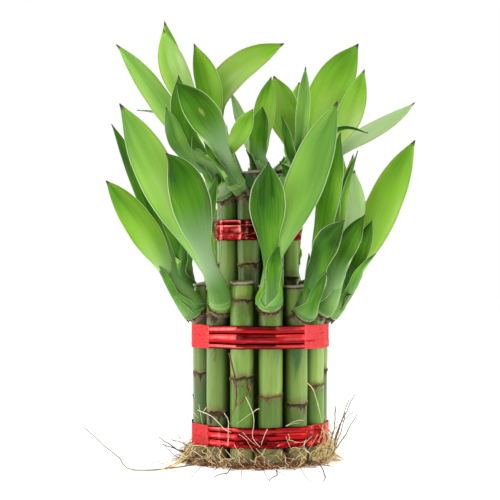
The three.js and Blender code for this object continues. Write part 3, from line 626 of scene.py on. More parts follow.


# Each row is a shoot: the height and the way that it leaves its cane, and where its leaves
# part. Each leaf has its tip, its width, how light a green it is (partly its own green and
# partly painted light: paler where it is lit through from behind, darker where it is shaded),
# the point half way, and then by name: the way that its upper side looks (face) or that it
# leaves the stem (out); how far it folds, bows, clasps the stem and flares at its foot; where
# on the stem it parts (at) and its sheath starts (low); and its pale bloom at the base, its
# veil of painted sheen and scar.
SHOOTS = {
    "outer_01": (80, -4, (5.5, -40, 102), [
        blade((2.5, -44, 94), 6, 0.4, at=0.25, out=-75, clasp=1.3),
        blade((11.5, -43, 100), 6, 0.35, at=0.3, out=70, clasp=1.4),
        blade((9.2, -47, 110), 8.1, 0.24, (7, -47, 101.5), face=180, at=0.33, low=0.15, out=10,
              clasp=0.55, flare=-0.6),
        blade((4, -56, 151), 18.5, 0.2, (3.5, -53, 129), face=180, bloom=0.1),
        blade((38, -45, 181.5), 20, 0.45, (22, -48, 142), face=175, bloom=0.5, veil=0.1),
    ]),
    "outer_02": (75, 55, (27, -38, 94), [
        blade((32.5, -45, 97), 6.5, 0.2, at=0.3, out=15),
        blade((24, -42, 107), 6, 0.2, at=0.6, out=-40),
        blade((41, -53, 123), 13, 0.07, (31.5, -48, 110), face=165, fold=10, at=0.55),
        blade((40, -36, 167), 12.5, 0.35, (34, -39, 137), face=175),
    ]),
    "outer_03": (77, 68, (38, -23, 95), [
        blade((52, -25, 120.5), 8, 0.25, (46, -25, 108.5), out=55),
        blade((52, -37, 126), 12, 0.21, (42.5, -33, 110), face=160, fold=25, bloom=0.65),
        blade((48.5, -12, 150), 11, 0.92, (48.5, -14, 129), face=180, veil=0.4),
        blade((49.5, -22, 159), 10, 0.35, (44, -22, 134), fold=55),
    ]),
    "outer_04": (75, 92, (49, -3, 94), [
        blade((47, -8, 86), 6, 0.3, at=0.4, out=80),
        blade((59, -17, 107), 8, 0.2, (51.5, -13, 98), out=60),
        blade((57.5, -14, 124), 9, 0.19, (52, -12, 109), face=170),
        blade((69, 11, 146), 12, 0.6, (59, 8, 122), face=190),
        blade((80, -8, 165.5), 19, 0.66, (62.3, -7, 128), face=180),
    ]),
    "outer_05": (78, 118, (40, 20, 101), [
        blade((58, 30, 118), 12, 0.5),
        blade((64, 38, 140), 14, 0.6),
        blade((44, 16, 161), 12, 0.6, (42, 16, 138), face=190),
        blade((49, 4, 159), 8, 0.7, (45, 8, 136), face=180),
    ]),
    "outer_06": (79, 152, (17, 45, 101), [
        blade((19, 70, 112), 13, 0.4),
        blade((3, 72, 130), 14, 0.55),
        blade((20, 58, 147), 15, 0.6),
    ]),
    "outer_07": (80, 178, (1, 49, 102), [
        blade((-9, 75, 114), 13, 0.35),
        blade((-2, 64, 150), 15, 0.5),
        blade((-13, 60, 147), 13, 0.6),
    ]),
    "outer_08": (78, 206, (-15, 45, 102), [
        blade((-29, 65, 118), 13, 0.45),
        blade((-15, 76, 135), 14, 0.3),
        blade((-34, 55, 147), 15, 0.6),
        blade((-20, 52, 158), 13, 0.7),
    ]),
    "outer_09": (80, 205, (-23, 35, 102), [
        blade((-32, 66, 116), 12, 0.4),
        blade((-58, 44, 140), 14, 0.55),
        blade((-42, 48, 152), 15, 0.65),
    ]),
    "outer_10": (77, -98, (-38.5, 7, 102), [
        blade((-41, 3, 120), 9, 0.12, at=0.6),
        blade((-64, 20, 121), 13, 0.3),
        blade((-58.5, 4, 131.5), 15, 0.2, (-49, 6, 114), face=150),
        blade((-48, 22, 150), 13, 0.5, face=160),
    ]),
    "outer_11": (76, -58, (-48, -22, 99), [
        blade((-52, -25, 101), 6, 0.1, (-47.6, -24, 92), at=0.3, out=-65, clasp=1.1),
        blade((-50.5, -28, 100.5), 5, 0.2, (-46, -26.5, 92), at=0.4, out=-45, clasp=1.1),
        blade((-74.5, -29, 172), 9.5, 0.3, (-57.5, -27, 134), face=170, bloom=0.5),
        blade((-76.5, -37, 143), 16, 0.58, (-57.5, -32, 117), face=175, low=0.4, bloom=0.8),
    ]),
    "outer_12": (79, 18, (-27, -38, 103), [
        blade((-46, -51, 155.5), 20.5, 0.19, (-33.5, -49, 131), face=185, bow=0.5, at=0.9,
              low=0.35, clasp=1.5, bloom=0.95),
        blade((-69.5, -40, 181), 21, 0.6, (-49.5, -40, 142.5), face=178, low=0.25, bloom=0.5,
              veil=0.1),
        blade((-21.5, -31, 146), 8.5, 0.3, (-26.5, -34, 128), face=150, low=0.5),
    ]),
    "inner_01": (137.5, -62, (-18.5, -28.5, 160), [
        blade((-28, -35, 162.5), 4, 0.1, (-24.5, -33, 156), at=0.66, low=0.4, face=150, clasp=0.5),
        blade((-28, -27, 157), 8, 0.72, at=0.5, low=0.3, out=-70, clasp=0.9),
        blade((-41.5, -42, 191), 17, 0.2, (-27, -40, 174), face=180, at=0.86, low=0.3, bloom=0.9,
              scar=1),
        blade((-3.5, -33, 179), 10, 0.58, (-10, -32, 167), face=0, low=0.6),
    ]),
    "inner_02": (137, 62, (20, -18, 151), [
        blade((10, -25, 153.5), 7, 0.2, at=0.5, out=-20),
        blade((21, -30, 161), 6, 0.1),
        blade((54, -32, 167), 7, 0, (40, -28, 169)),
        blade((11, -27, 176), 8, 0.1, (14, -24, 162)),
        blade((23, -26, 201), 9, 0.47, (21.5, -25, 177), fold=40, face=0, veil=0.15),
    ]),
    "inner_03": (138, 78, (27, -4, 156), [
        blade((80.5, -4, 185.5), 9, 0.95, (54.5, -5, 168.5), face=0, bow=-0.25, bloom=0.6,
              veil=0.6),
        blade((54, -8, 202), 14, 0.68, (46, -7, 178), face=170),
        blade((51.5, 9, 208), 8, 0.5),
        blade((51.5, 1, 216.5), 22.5, 0.56, (35.8, -1, 189.5), face=180),
    ]),
    "inner_04": (139, 110, (18, 12, 161), [
        blade((42, 26, 186), 13, 0.5),
        blade((21, 13, 198), 13, 0.7, (19, 13, 178), face=170),
        blade((7.5, 3, 200), 19, 0.66, (12.5, 6, 181), face=0, fold=25),
    ]),
    "inner_05": (141, 150, (16, 28, 156), [
        blade((22, 62, 149), 13, 0.4),
        blade((34, 54, 158), 13, 0.5),
        blade((40, 42, 178), 14, 0.6),
        blade((17, 38, 190), 13, 0.7),
    ]),
    "inner_06": (139, -160, (-18, 17, 165), [
        blade((-28, 42, 184), 12, 0.5),
        blade((-23, 16, 205), 8, 0.7),
        blade((13, 10, 218), 16.5, 0.78, (-16, 12, 200.5), face=0),
    ]),
    "inner_07": (139, -100, (-23, 4, 164), [
        blade((-29, 50, 188), 13, 0.5),
        blade((-34.5, 7, 217.5), 14, 0.47, (-26.5, 6, 194), face=180),
        blade((-50.3, 0, 224), 9.5, 0.8, (-40.5, -4, 200), face=180, veil=0.15),
        blade((-50, 9, 229.5), 14, 0.6, (-46, 8, 204), face=180, fold=20),
    ]),
    "inner_08": (135.5, -38, (-25, -16, 153), [
        blade((-18.5, -22, 143.5), 7.5, 0.95, at=0.3, out=15, bloom=1),
        blade((-21.5, -21, 147.5), 5, 0.1, at=0.45, out=-20),
        blade((-32, -23, 153), 8, 0.15, at=0.55, out=-60),
        blade((-34, -14, 170), 8, 0.3, (-35, -16, 160)),
        blade((-47.5, -23, 181), 9.5, 0.34, (-42, -20, 164), face=170, bloom=0.7, veil=0.12),
        blade((-64, 2, 182), 7, 0.3, (-46, 1, 177)),
        blade((-41.5, -16, 198), 12, 0.3, (-39, -17, 175), face=0),
        blade((-74, -8, 215), 13, 0.62, (-50.5, -11, 184), face=170, veil=0.15),
    ]),
    "centre": (143, 15, (-0.5, -5, 158), [
        blade((-7, -12, 160), 7, 0.1, at=0.3, low=0.15, out=-50, clasp=0.8),
        blade((-15.5, 14, 193), 7, 0.7, (-11, 9, 180), face=150, veil=0.5),
        blade((1.5, -6, 183), 11, 0.22, (-0.6, -7, 169), face=180, bloom=0.5),
        blade((6, -1, 199), 12, 0.5, (2, -1.5, 178), face=180),
    ]),
}


# A smooth line through the rows of a table, which never overshoots them
def along_table(table, t):
    for i in range(len(table) - 1):
        (t0, y0), (t1, y1) = table[i], table[i + 1]
        if t <= t1:
            slope = (y1 - y0) / (t1 - t0)
            before = (y0 - table[i - 1][1]) / (t0 - table[i - 1][0]) if i else slope
            after = ((table[i + 2][1] - y1) / (table[i + 2][0] - t1)
                     if i + 2 < len(table) else slope)
            m0 = 0 if before * slope <= 0 else 2 * before * slope / (before + slope)
            m1 = 0 if after * slope <= 0 else 2 * after * slope / (after + slope)
            s, span = (t - t0) / (t1 - t0), t1 - t0
            return ((2 * s**3 - 3 * s**2 + 1) * y0 + (s**3 - 2 * s**2 + s) * span * m0
                    + (3 * s**2 - 2 * s**3) * y1 + (s**3 - s**2) * span * m1)
    return table[-1][1]


def bezier(points, t):
    while len(points) > 1:
        points = [a.lerp(b, t) for a, b in zip(points, points[1:])]
    return points[0]


def heading(points, t):
    return (bezier(points, min(1, t + 0.01)) - bezier(points, max(0, t - 0.01))).normalized()


# A sheath that clasps the stem, and then a blade that opens along its spine
def make_leaf(tip, via, width, stem, girths, share, layer, facts, draw):
    start, way = bezier(stem, share), heading(stem, share)
    girth = along_table(girths, share) + layer
    tip = Vector(tip)
    chord = tip - start
    length = chord.length
    if "out" in facts or "face" in facts:
        away = level(facts.get("out", facts.get("face", 0) + 180))
    else:
        away = Vector((chord.x, chord.y, 0)).normalized()
    away = (away - way * away.dot(way)).normalized()
    side = way.cross(away).normalized()
    foot = start + away * girth
    lift = foot + way * (BLADE_LIFT * length)
    last = ((tip - Vector(via)) if via else chord).normalized()
    last = (last - UP * facts.get("bow", BLADE_BOW)).normalized()
    reach = tip - last * (BLADE_REACH * length)
    if via:
        lift = (Vector(via) * 8 - foot - tip) / 3 - reach
    spine = [foot, lift, reach, tip]

    def turned(t, turn):
        along = heading(spine, t)
        across = (side - along * side.dot(along)).normalized()
        across = Matrix.Rotation(turn * smooth(0.05, 0.45, t), 3, along) @ across
        return along, across, along.cross(across)

    turn = 0
    if "face" in facts:
        along, _, face = turned(0.55, 0)
        wanted = level(facts["face"])
        wanted = (wanted - along * wanted.dot(along)).normalized()
        turn = math.atan2(face.cross(wanted).dot(along), face.dot(wanted))
    bract = width < BRACT_WIDTH
    neck = min(0.85, 2 * NECK / width) if "face" in facts else 0.85
    table = BRACT if bract else [(0, neck), (0.13, neck), (0.24, max(neck, 0.64)), *BLADE]
    open_fold = FOLD_GAIN * math.radians(facts.get("fold", BLADE_FOLD))
    clasp = facts.get("clasp", 1.15 if bract else 2.2)
    flare = facts.get("flare", 0.8 if bract else 0.27)
    low = facts.get("low", 0.12 + 0.07 * layer)
    ripple = draw.uniform(0.25, 0.7) * (0.4 if bract else 1)
    beat, phase = draw.uniform(1.4, 2.4), draw.uniform(0, 6.3)

    def place(u, v):
        if v < SHEATH_SHARE:
            rise = v / SHEATH_SHARE
            at = low + (share - low) * rise
            along, centre = heading(stem, at), bezier(stem, at)
            outward = (away - along * away.dot(along)).normalized()
            across = along.cross(outward)
            wide = along_table(girths, at) + layer
            fold = u * clasp * (1 + flare * (1 - rise))
            return centre + outward * (wide * math.cos(fold)) - across * (wide * math.sin(fold))
        t = (v - SHEATH_SHARE) / (1 - SHEATH_SHARE)
        along, across, face = turned(t, turn)
        fold = clasp + (open_fold - clasp) * smooth(0, 0.3, t)
        half = girth * clasp
        half += (width / 2 * along_table(table, t) - half) * smooth(0, 0.3, t)
        bend = half / fold
        x, y = bend * math.sin(u * fold), bend * (1 - math.cos(u * fold))
        grown = smooth(0.2, 0.45, t) * smooth(1.02, 0.85, t)
        y += ripple * u * u * math.sin(6.28 * beat * t + phase + (2.2 if u > 0 else 0)) * grown
        return bezier(spine, t) - across * x + face * y

    columns, rows = BRACT_GRID if bract else BLADE_GRID
    leaf = laid_sheet(columns, rows, place)
    thick = leaf.vertex_groups.new(name="thick")
    for i in range(len(leaf.data.vertices)):
        thick.add([i], 1 - 0.65 * abs((i % (columns + 1)) / columns * 2 - 1) ** 2, "REPLACE")
    alone(leaf)
    thicken(leaf, LEAF_THICK, group="thick")
    leaf.vertex_groups.clear()
    paint(leaf, LEAF_MARKS, [(facts["tone"], facts.get("bloom", 0.35),
                              facts.get("veil", 0), facts.get("scar", 0), draw.random())]
          * len(leaf.data.vertices))
    leaf.data.materials.append(LEAF_GREEN)
    return leaf


def round_stem(spine, at, girth, u):
    along = heading(spine, at)
    across = along.cross(UP).normalized()
    up = across.cross(along)
    turn = math.pi * u
    return bezier(spine, at) + (across * math.cos(turn) + up * math.sin(turn)) * girth


def make_stem(spine, girths):
    stem = laid_sheet(*STEM_GRID, lambda u, v: round_stem(
        spine, v, along_table(girths, v) * (1 - 0.85 * smooth(0.86, 1, v)), u))
    close_up(stem, capped=True)
    stem.data.materials.append(STUB_GREEN)
    return stem


# The torn brown ring that the stub broke through
def make_husk(spine, girths, draw):
    starts, seed = draw.uniform(0.1, 0.14), draw.uniform(0, 90)

    def place(u, v):
        probe = Vector((math.cos(math.pi * u) * 3, math.sin(math.pi * u) * 3, seed))
        tear = 0.35 + noise.noise(probe) + 0.7 * noise.noise(probe * 3.3)
        hang = max(0, 0.2 + noise.noise(probe * 1.3) + 1.1 * noise.noise(probe * 4.1))
        at = max(0, starts - 0.07 * hang * (1 - v)) + v * 0.05 * max(0, tear) ** 1.5
        girth = along_table(girths, at) + 0.5 + (0.3 + 0.9 * noise.noise(probe * 2)) * v
        girth += 0.7 * hang * (1 - v)
        return round_stem(spine, at, girth, u)

    husk = laid_sheet(*HUSK_GRID, place)
    close_up(husk)
    thicken(husk, HUSK_THICK)
    husk.data.materials.append(DRY_HUSK)
    return husk


for number, (name, (z, way, crown, leaves)) in enumerate(SHOOTS.items()):
    draw = random.Random(100 + number)
    ring, _, index = name.partition("_")
    if ring == "centre":
        spot, radius = centre_spot, INNER_RADIUS
    elif ring == "outer":
        spot, radius = outer_spots[int(index) - 1][1], OUTER_RADIUS
    else:
        spot, radius = inner_spots[int(index) - 1][1], INNER_RADIUS
    out = level(way)
    heart = Vector((spot.x, spot.y, z))
    spine = [heart + out * (STEM_SUNK * radius),
             heart + out * (radius + STEM_OUT) + UP * STEM_RISE, Vector(crown)]
    stout = STOUT.get(name, 1 if ring == "outer" else 0.88)
    girths = [(at, wide * stout) for at, wide in STUB_GIRTHS]
    parts = [make_stem(spine, girths), make_husk(spine, girths, draw)]
    # Shoots at the back have two more bracts, low on the stub.
    if abs(way) > BACK:
        leaves = [blade(bezier(spine, 0.5) + level(way + aside) * 8, 6, 0.35,
                        at=0.28, out=way + aside, clasp=1.35)
                  for aside in LOW_BRACTS] + leaves
    for i, (tip, via, width, facts) in enumerate(leaves):
        share = facts.get("at", FIRST_LEAF + LEAF_SPREAD * (i + 1) / len(leaves))
        layer = 0.25 + 0.28 * (len(leaves) - 1 - i)
        parts.append(make_leaf(tip, via, width, spine, girths, share, layer, facts, draw))
    alone(parts[0])
    for part in parts:
        part.select_set(True)
    bpy.ops.object.join()
    shoot = bpy.context.object
    shoot.name = f"{name}_shoot_leaves"
    bpy.ops.object.shade_smooth_by_angle(angle=math.radians(60))
    node = "centre_shoot" if ring == "centre" else f"{ring}_shoot_{index}"
    ride_for(shoot, node)

# Bare roots
# Straw-coloured, rust and white roots that grew out of the cut feet in water: a shaggy mat
# against the canes, runners that lie on the floor, and a fan that stands up on the right.

# Long roots: the points that each runs through, by the number of the cane that it grows from
LONG_ROOTS = {
    0: [[(7, -36, 3), (9, -48, 4), (8, -66, 1), (4, -82, 0.8)]],
    1: [[(23, -28, 3), (28, -40, 3.5), (31, -66, 1), (29, -88, 0.8)]],
    2: [[(33, -13, 2), (36, -14, 9), (38, -15.5, 18), (38.5, -16, 28.5)],
        [(34, -16, 1.5), (38, -18, 7), (41, -20, 16), (43, -21, 26.5)]],
    3: [[(36, 0, 2), (39, -1, 8), (42.5, -4, 21), (49, -6, 34.5)],
        [(36, 3, 2), (39, 3, 9), (43, 2, 21), (46.5, 1, 31)],
        [(36, 1, 2), (41, 4, 6), (46, 4, 15), (51, 2, 24)]],
    10: [[(-34, -9, 2), (-40, -9, 5), (-47, -9, 9.5), (-52, -9, 13)],
         [(-34, -12, 2), (-39, -14, 6), (-45, -14, 8), (-50, -15, 10)]],
    11: [[(-26, -27, 2), (-45, -40, 0.6), (-54, -45, 0.6), (-62, -46, 0.6), (-66.5, -43, 2),
          (-70.5, -39.5, 7), (-77, -36.5, 11.5), (-88, -33, 20.5)]],
    12: [[(-10, -36, 3), (-13, -47, 3.5), (-16, -60, 1), (-22, -70, 0.8)]],
}
STRAW, RUST, WHITE, DARK_AND_SHADOW, OLIVE = range(5)
OLIVE_TUFTS = (2, 3, 11)
STRANDS, MAT_ROOTS, RUNNERS, CURLS = 32, 66, 12, 15
ROOT_REACH, CANE_FRONT, FRONT_REACH, TIE_FOOT = 36, 35.7, 37.3, 8.5
FLOOR_CLEAR, LONG_CLEAR, LONG_THICK, LONG_THIN = 0.35, 0.45, 0.42, 0.18


def on_front(*spots):
    return [(x, round(-math.sqrt(FRONT_REACH ** 2 - x * x), 1), z) for x, z in spots]


def on_floor(*spots):
    return [(x, y, 0.6) for x, y in spots]


def beside(y, *spots):
    return [(x, round(y - 0.8 * i, 1), z) for i, (x, z) in enumerate(spots)]


# Single roots that lie over the foot tie, the canes and the floor: their points, thickness
# and finish (0 straw, 1 rust, 2 white, 3 dark, partly painted shadow: dark lines beside
# lighter roots and roots in shade on the floor), by the number of the cane behind them
FRONT_ROOTS = {
    0: [
        (on_front((3.7, 20), (1.6, 16.3), (0.5, 12)), 0.2, 2),
        ([(12.8, -35, 16), (13.9, -34.6, 12.8), (15.5, -34, 9.5)], 0.14, 2),
        (on_front((-1.7, 7.6), (-2.2, 3.9), (-2.7, 1.7)), 0.2, 2),
        (on_front((-2, 10.3), (0.5, 7.3), (4, 4.3)), 0.2, 2),
        (on_front((10.9, 9.1), (9.9, 7.1), (12.4, 5.5), (16.4, 4.8), (18, 4.2)), 0.24, 0),
        ([(4, -37.1, 4.3), (7.4, -36.5, 2.7), (12.4, -35.2, 1.8), (14.9, -34.2, 1.9)], 0.22, 2),
        (on_front((5, 8.2), (8.4, 6.7), (9.4, 4.2)), 0.28, 1),
        (on_front((10.4, 8.6), (13.9, 7.5), (15.4, 5.4)), 0.3, 1),
        (on_floor((1.5, -39.2), (2.4, -68.3), (4.6, -88.7)), 0.22, 3),
        (on_floor((6.2, -39.2), (9.2, -54), (12.4, -64.8)), 0.18, 3),
    ],
    1: [
        ([(12.8, -35, 21.1), (18.4, -32.5, 24.6), (21.7, -30.4, 23.6)], 0.22, 2),
        ([(13.3, -34.8, 21.3), (16, -33.7, 22.3), (20.1, -31.5, 22.5)], 0.16, 2),
        ([(16, -33.7, 13.8), (19.3, -32, 12), (22, -30.2, 12.8)], 0.14, 2),
        ([(25.8, -27.2, 15.2), (22.5, -29.8, 12.3), (19.3, -32, 8.8)], 0.16, 2),
        ([(29.2, -23.8, 15.9), (26.9, -26.1, 12.4), (24.2, -28.6, 8.3)], 0.16, 0),
        ([(18, -32.7, 4.7), (19.5, -31.9, 7.6), (22, -30.2, 8.9)], 0.18, 0),
        ([(24.6, -28.3, 4.2), (25.1, -27.8, 7.1), (27.7, -25.4, 7.9), (30.3, -22.4, 9.5),
          (33, -18.6, 12.1)], 0.22, 0),
        ([(27.7, -25.4, 1.8), (25.6, -27.4, 4.6), (27.7, -25.4, 6.9),
          (29.8, -23.1, 8.6)], 0.24, 0),
        (on_floor((19.9, -35.4), (20.9, -68.3), (23.5, -90.4)), 0.2, 3),
        (on_floor((27.2, -23.7), (29.3, -61.2), (32, -85.4)), 0.16, 3),
    ],
    2: [
        ([(23.6, -29, 42.2), (26.4, -26.7, 39.9), (27.8, -25.3, 35.5), (29.5, -23.4, 29.9),
          (30.9, -21.7, 23.8), (31.4, -21.1, 21.3)], 0.3, 0),
        ([(31.5, -20.9, 20.5), (32.6, -19.2, 15.4), (31.5, -20.9, 10.1),
          (26.9, -26.1, 6.4)], 0.22, 0),
        ([(32, -20.1, 19.8), (30.9, -21.7, 14), (28.6, -24.4, 9.5)], 0.2, 0),
        (beside(-12, (31, 0.5), (34.3, 1.2), (36.8, 4.4), (37.8, 7.6), (36.7, 11.7),
                (35.2, 14.9)), 0.28, 0),
        (beside(-15, (32.7, 0.5), (35.2, 4.2), (35.1, 7.8), (33.1, 11), (32.5, 14.1),
                (33, 17.3)), 0.26, 0),
        (beside(-18, (30, 0.9), (32, 3.5), (34, 6.2), (32.9, 8.3), (30.9, 7.4),
                (30.3, 4.9)), 0.24, 0),
        (beside(-13, (33.8, 17.1), (34.8, 13.6), (36.2, 10.2), (35.7, 6.7), (34.1, 3.2)), 0.24, 2),
        (beside(-17, (32.1, 12), (34.1, 10), (34.5, 7.1), (32.5, 4.6), (30.4, 3.2)), 0.22, 2),
        (beside(-8, (33.2, 23.3), (35.3, 14.8), (36.9, 4.3)), 0.16, 2),
        (beside(-10, (48, 26.1), (42.6, 21.4), (36.7, 15.6), (33.5, 11)), 0.2, 3),
        (beside(-20, (30, 0.5), (36.6, 0.5), (37.1, 4.7)), 0.22, 2),
        (beside(-12, (33.5, 19.9), (38.3, 14.2), (37.4, 5.8), (33.9, 0.6)), 0.24, 0),
        (beside(-18, (31.7, 18.4), (34.3, 10.6), (32.7, 4.4), (28.4, 0.5)), 0.26, 0),
    ],
    3: [
        (beside(-6, (38.8, 28.9), (39.6, 25.3), (38.5, 19), (37.6, 12.6), (35.2, 5.3)), 0.24, 3),
        (beside(-4, (37.6, 5.7), (41.9, 5), (48.8, 4.6)), 0.1, 2),
    ],
    10: [
        ([(-48.5, -43, 0.6), (-43.5, -36, 1.5), (-39.5, -28, 4), (-37, -24, 8),
          (-34, -21, 11)], 0.5, 0),
        ([(-46, -42, 0.6), (-42, -34, 1.2), (-40, -29, 2.5), (-38, -22, 4.5),
          (-35.5, -16, 7)], 0.4, 0),
        ([(-35.9, -12, 7.8), (-40.5, -12, 11.4), (-45.6, -12, 11.9)], 0.25, 3),
        ([(-38, -14, 1.5), (-43, -13, 3.2), (-46.5, -12, 6.5), (-49.7, -12, 9.9)], 0.25, 3),
        ([(-36.5, -11, 8.5), (-40, -11, 10.5), (-42, -11, 14.5)], 0.2, 3),
        (beside(-12, (-36, 7.9), (-39.2, 5.2), (-40.8, 2.6), (-42.2, 0.5)), 0.42, 0),
        (beside(-18, (-42.3, 0.5), (-37.3, 0.5), (-34, 1.1), (-30.1, 0.6)), 0.3, 0),
        (beside(-10, (-45.5, 11), (-41.5, 11.1), (-38.2, 10), (-35.4, 7.9)), 0.13, 3),
        (beside(-12, (-45.3, 10.1), (-43.1, 7.4), (-40.3, 5.9)), 0.13, 3),
        (beside(-14, (-45.8, 4.3), (-43.5, 2.7), (-41.8, 3.9)), 0.12, 3),
        (beside(-14, (-49.6, 10.1), (-45.4, 5.9), (-41.1, 5), (-35.8, 3.5)), 0.18, 2),
        (beside(-10, (-45.6, 12.3), (-42.4, 8.7), (-36, 8.5)), 0.16, 0),
        (beside(-12, (-41.8, 14.6), (-41.2, 12.1), (-37, 9.2)), 0.14, 3),
        (beside(-18, (-56.2, 0.5), (-50.4, 2), (-45.1, 1.8), (-36.6, 3.3)), 0.14, 3),
        (beside(-20, (-50.8, 0.5), (-46.1, 1.2), (-39.7, 3.6), (-34.4, 5.8)), 0.26, 0),
        (beside(-26, (-45.8, 0.5), (-41.5, 1.1), (-36.3, 5.4), (-32.1, 9.7)), 0.28, 0),
    ],
    11: [
        ([(-31.2, -21.3, 27.8), (-28.1, -25, 26.8), (-24.2, -28.6, 25.8), (-19.8, -31.7, 21.6),
          (-17.1, -33.2, 18.5), (-14.4, -34.4, 18)], 0.3, 2),
        ([(-30.9, -21.7, 30.8), (-29.8, -23.1, 25.5), (-28.9, -24.1, 21)], 0.16, 2),
        ([(-35, -15.2, 27.5), (-32, -20.1, 25.3), (-31.2, -21.3, 23.7)], 0.16, 2),
        ([(-26.9, -26.1, 29.6), (-28.5, -24.5, 27.3)], 0.2, 2),
        ([(-34.7, -15.7, 7.2), (-30, -22.8, 5.3), (-26.1, -26.9, 2.6), (-22.2, -30.1, 1.4),
          (-18.4, -32.5, 0.6)], 0.22, 2),
        ([(-27.8, -25.3, 10.5), (-25, -27.9, 7.6), (-22.2, -30.1, 3.5), (-18.4, -32.5, 2.1),
          (-15.1, -34.1, 1.1)], 0.25, 0),
        ([(-34.7, -15.7, 9.1), (-31.7, -20.5, 10.2), (-27.2, -25.9, 10),
          (-25.5, -27.5, 8.1)], 0.22, 0),
        ([(-37.8, -7.7, 0.7), (-34.1, -16.8, 2.4), (-30, -22.8, 4.2),
          (-26.1, -26.9, 3.1)], 0.18, 2),
        (on_floor((-28.8, -23.7), (-31.2, -50.4), (-33, -75.2)), 0.2, 3),
        (on_floor((-21.5, -31.5), (-22.8, -61.2), (-24.7, -82.1)), 0.16, 3),
    ],
    12: [
        (on_front((-7.2, 35.9), (-4.8, 31.1), (-3.2, 26.9), (-2.9, 22.1), (-4.2, 16.8),
                  (-2.7, 13.6), (0, 11)), 0.26, 2),
        ([(-17.9, -32.8, 27.5), (-15.2, -34.1, 24.5), (-16, -33.7, 19.1), (-15.7, -33.8, 15.9),
          (-16, -33.7, 11.1)], 0.28, 2),
        (on_front((-0.3, 30.1), (-2.7, 29.6), (-3.6, 27.7)), 0.26, 2),
        (on_front((-4.2, 27.9), (-8.5, 24.7), (-11.2, 22.5)), 0.14, 0),
        (on_front((-11.4, 32.6), (-13.9, 27.7), (-14.4, 25)), 0.3, 1),
        ([(-7.2, -36.6, 36.1), (-10.6, -35.7, 32.1), (-13.1, -34.9, 29.3)], 0.25, 1),
        ([(-15.5, -34, 57.5), (-14.4, -34.4, 52.2), (-13.1, -34.9, 46.9), (-12.2, -35.2, 42.7),
          (-11.7, -35.4, 36.3), (-12.5, -35.1, 31)], 0.3, 1),
        (on_front((-5.8, 42.8), (-4.2, 40.2), (-5.8, 37.5), (-7.2, 35.9)), 0.3, 1),
        (on_front((-15.1, 57), (-13.9, 52), (-12.6, 46.5), (-11.8, 42.4), (-11.4, 36.5),
                  (-12, 31.5)), 0.34, 3),
        ([(-6.9, -34, 44.6), (-5, -33.4, 42.2), (-7, -34.2, 40.4), (-4.8, -33.3, 38.8),
          (-6.4, -34, 36.2), (-10.2, -35, 31.8)], 0.42, 3),
        ([(-4, -32.6, 44.6), (-3.6, -32.6, 41.4), (-5.4, -33.6, 39), (-4.4, -33, 35)], 0.36, 3),
        (on_front((-8.5, 18.3), (-5.8, 14.6), (-2.1, 12)), 0.16, 2),
        ([(-10.6, -35.7, 17.2), (-7.4, -36.5, 15.7), (-5.3, -36.9, 12),
          (-3.2, -37.2, 8.8)], 0.16, 2),
        (on_front((-21.1, 10.1), (-18.9, 7), (-16.7, 3.9), (-12.9, 3.6), (-8.6, 3.2),
                  (-6.5, 3.8)), 0.26, 0),
        ([(-17.3, -33.1, 9.3), (-15.1, -34.1, 6.7), (-12.9, -35, 4.7), (-9.7, -36, 4.3),
          (-6, -36.8, 3.3), (-3.8, -37.1, 0.7)], 0.22, 0),
        (on_front((-12.9, 12.2), (-11.3, 9), (-9.7, 6.4), (-6.5, 3.8), (-4.4, 1.5)), 0.2, 2),
        (on_front((-15.1, 2.3), (-12.4, 0.8), (-8.6, 1.2), (-5.4, 2.7)), 0.3, 1),
        ([(-23.3, -29.3, 6.7), (-19.4, -31.9, 8), (-17.3, -33.1, 6), (-18.4, -32.5, 3.3)], 0.3, 1),
        (on_floor((-18.3, -39.2), (-16.3, -61.2), (-14.9, -85.4)), 0.16, 3),
        (on_floor((-8.6, -35.4), (-9.8, -64.8), (-8.8, -85.4)), 0.2, 3),
    ],
}


def root_finish(name, dark, light):
    material, tree, shader = finish_of(name, 0.6, Subsurface_Weight=0.1, Subsurface_Scale=0.001)
    skin = tint(step(grain(tree, 260), 0.3, 0.7), dark, light)
    dress(shader, skin, grain(tree, 2500), 0.3, 0.0003)
    return material


ROOT_FINISHES = [
    root_finish("straw root", (0.68, 0.47, 0.15), (1, 0.87, 0.46)),
    root_finish("rust root", (0.12, 0.028, 0.005), (0.45, 0.14, 0.03)),
    root_finish("white root", (0.68, 0.52, 0.32), (0.94, 0.86, 0.66)),
    # Dark roots are partly painted shadow: dark strands for the shade deep in the mat, beside
    # lighter roots and on the floor
    root_finish("dark root", (0.02, 0.013, 0.01), (0.1, 0.075, 0.06)),
    root_finish("olive root", (0.13, 0.1, 0.045), (0.36, 0.29, 0.14)),
]


def add_root(curve, points, thick, thin, kind):
    spline = curve.splines.new("NURBS")
    spline.points.add(len(points) - 1)
    for i, (dot, point) in enumerate(zip(spline.points, points)):
        dot.co = (*(Vector(point) * MM), 1)
        dot.radius = (thick + (thin - thick) * i / (len(points) - 1)) * MM
    spline.use_endpoint_u = True
    spline.order_u = 3
    spline.resolution_u = 2
    spline.material_index = kind


# How far from the middle the skins of the canes stand in a root's way
def least_reach(point):
    step_on = 360 / len(OUTER_CANES)
    turn = math.degrees(math.atan2(point.x, -point.y)) - OUTER_PHASE
    off = math.radians(abs(math.remainder(turn, step_on)))
    aside, hold = OUTER_RING * math.sin(off), OUTER_RADIUS + 0.4
    if point.z > TIE_FOOT or aside < 2:
        return CANE_FRONT
    return OUTER_RING * math.cos(off) + math.sqrt(max(2, hold * hold - aside * aside))


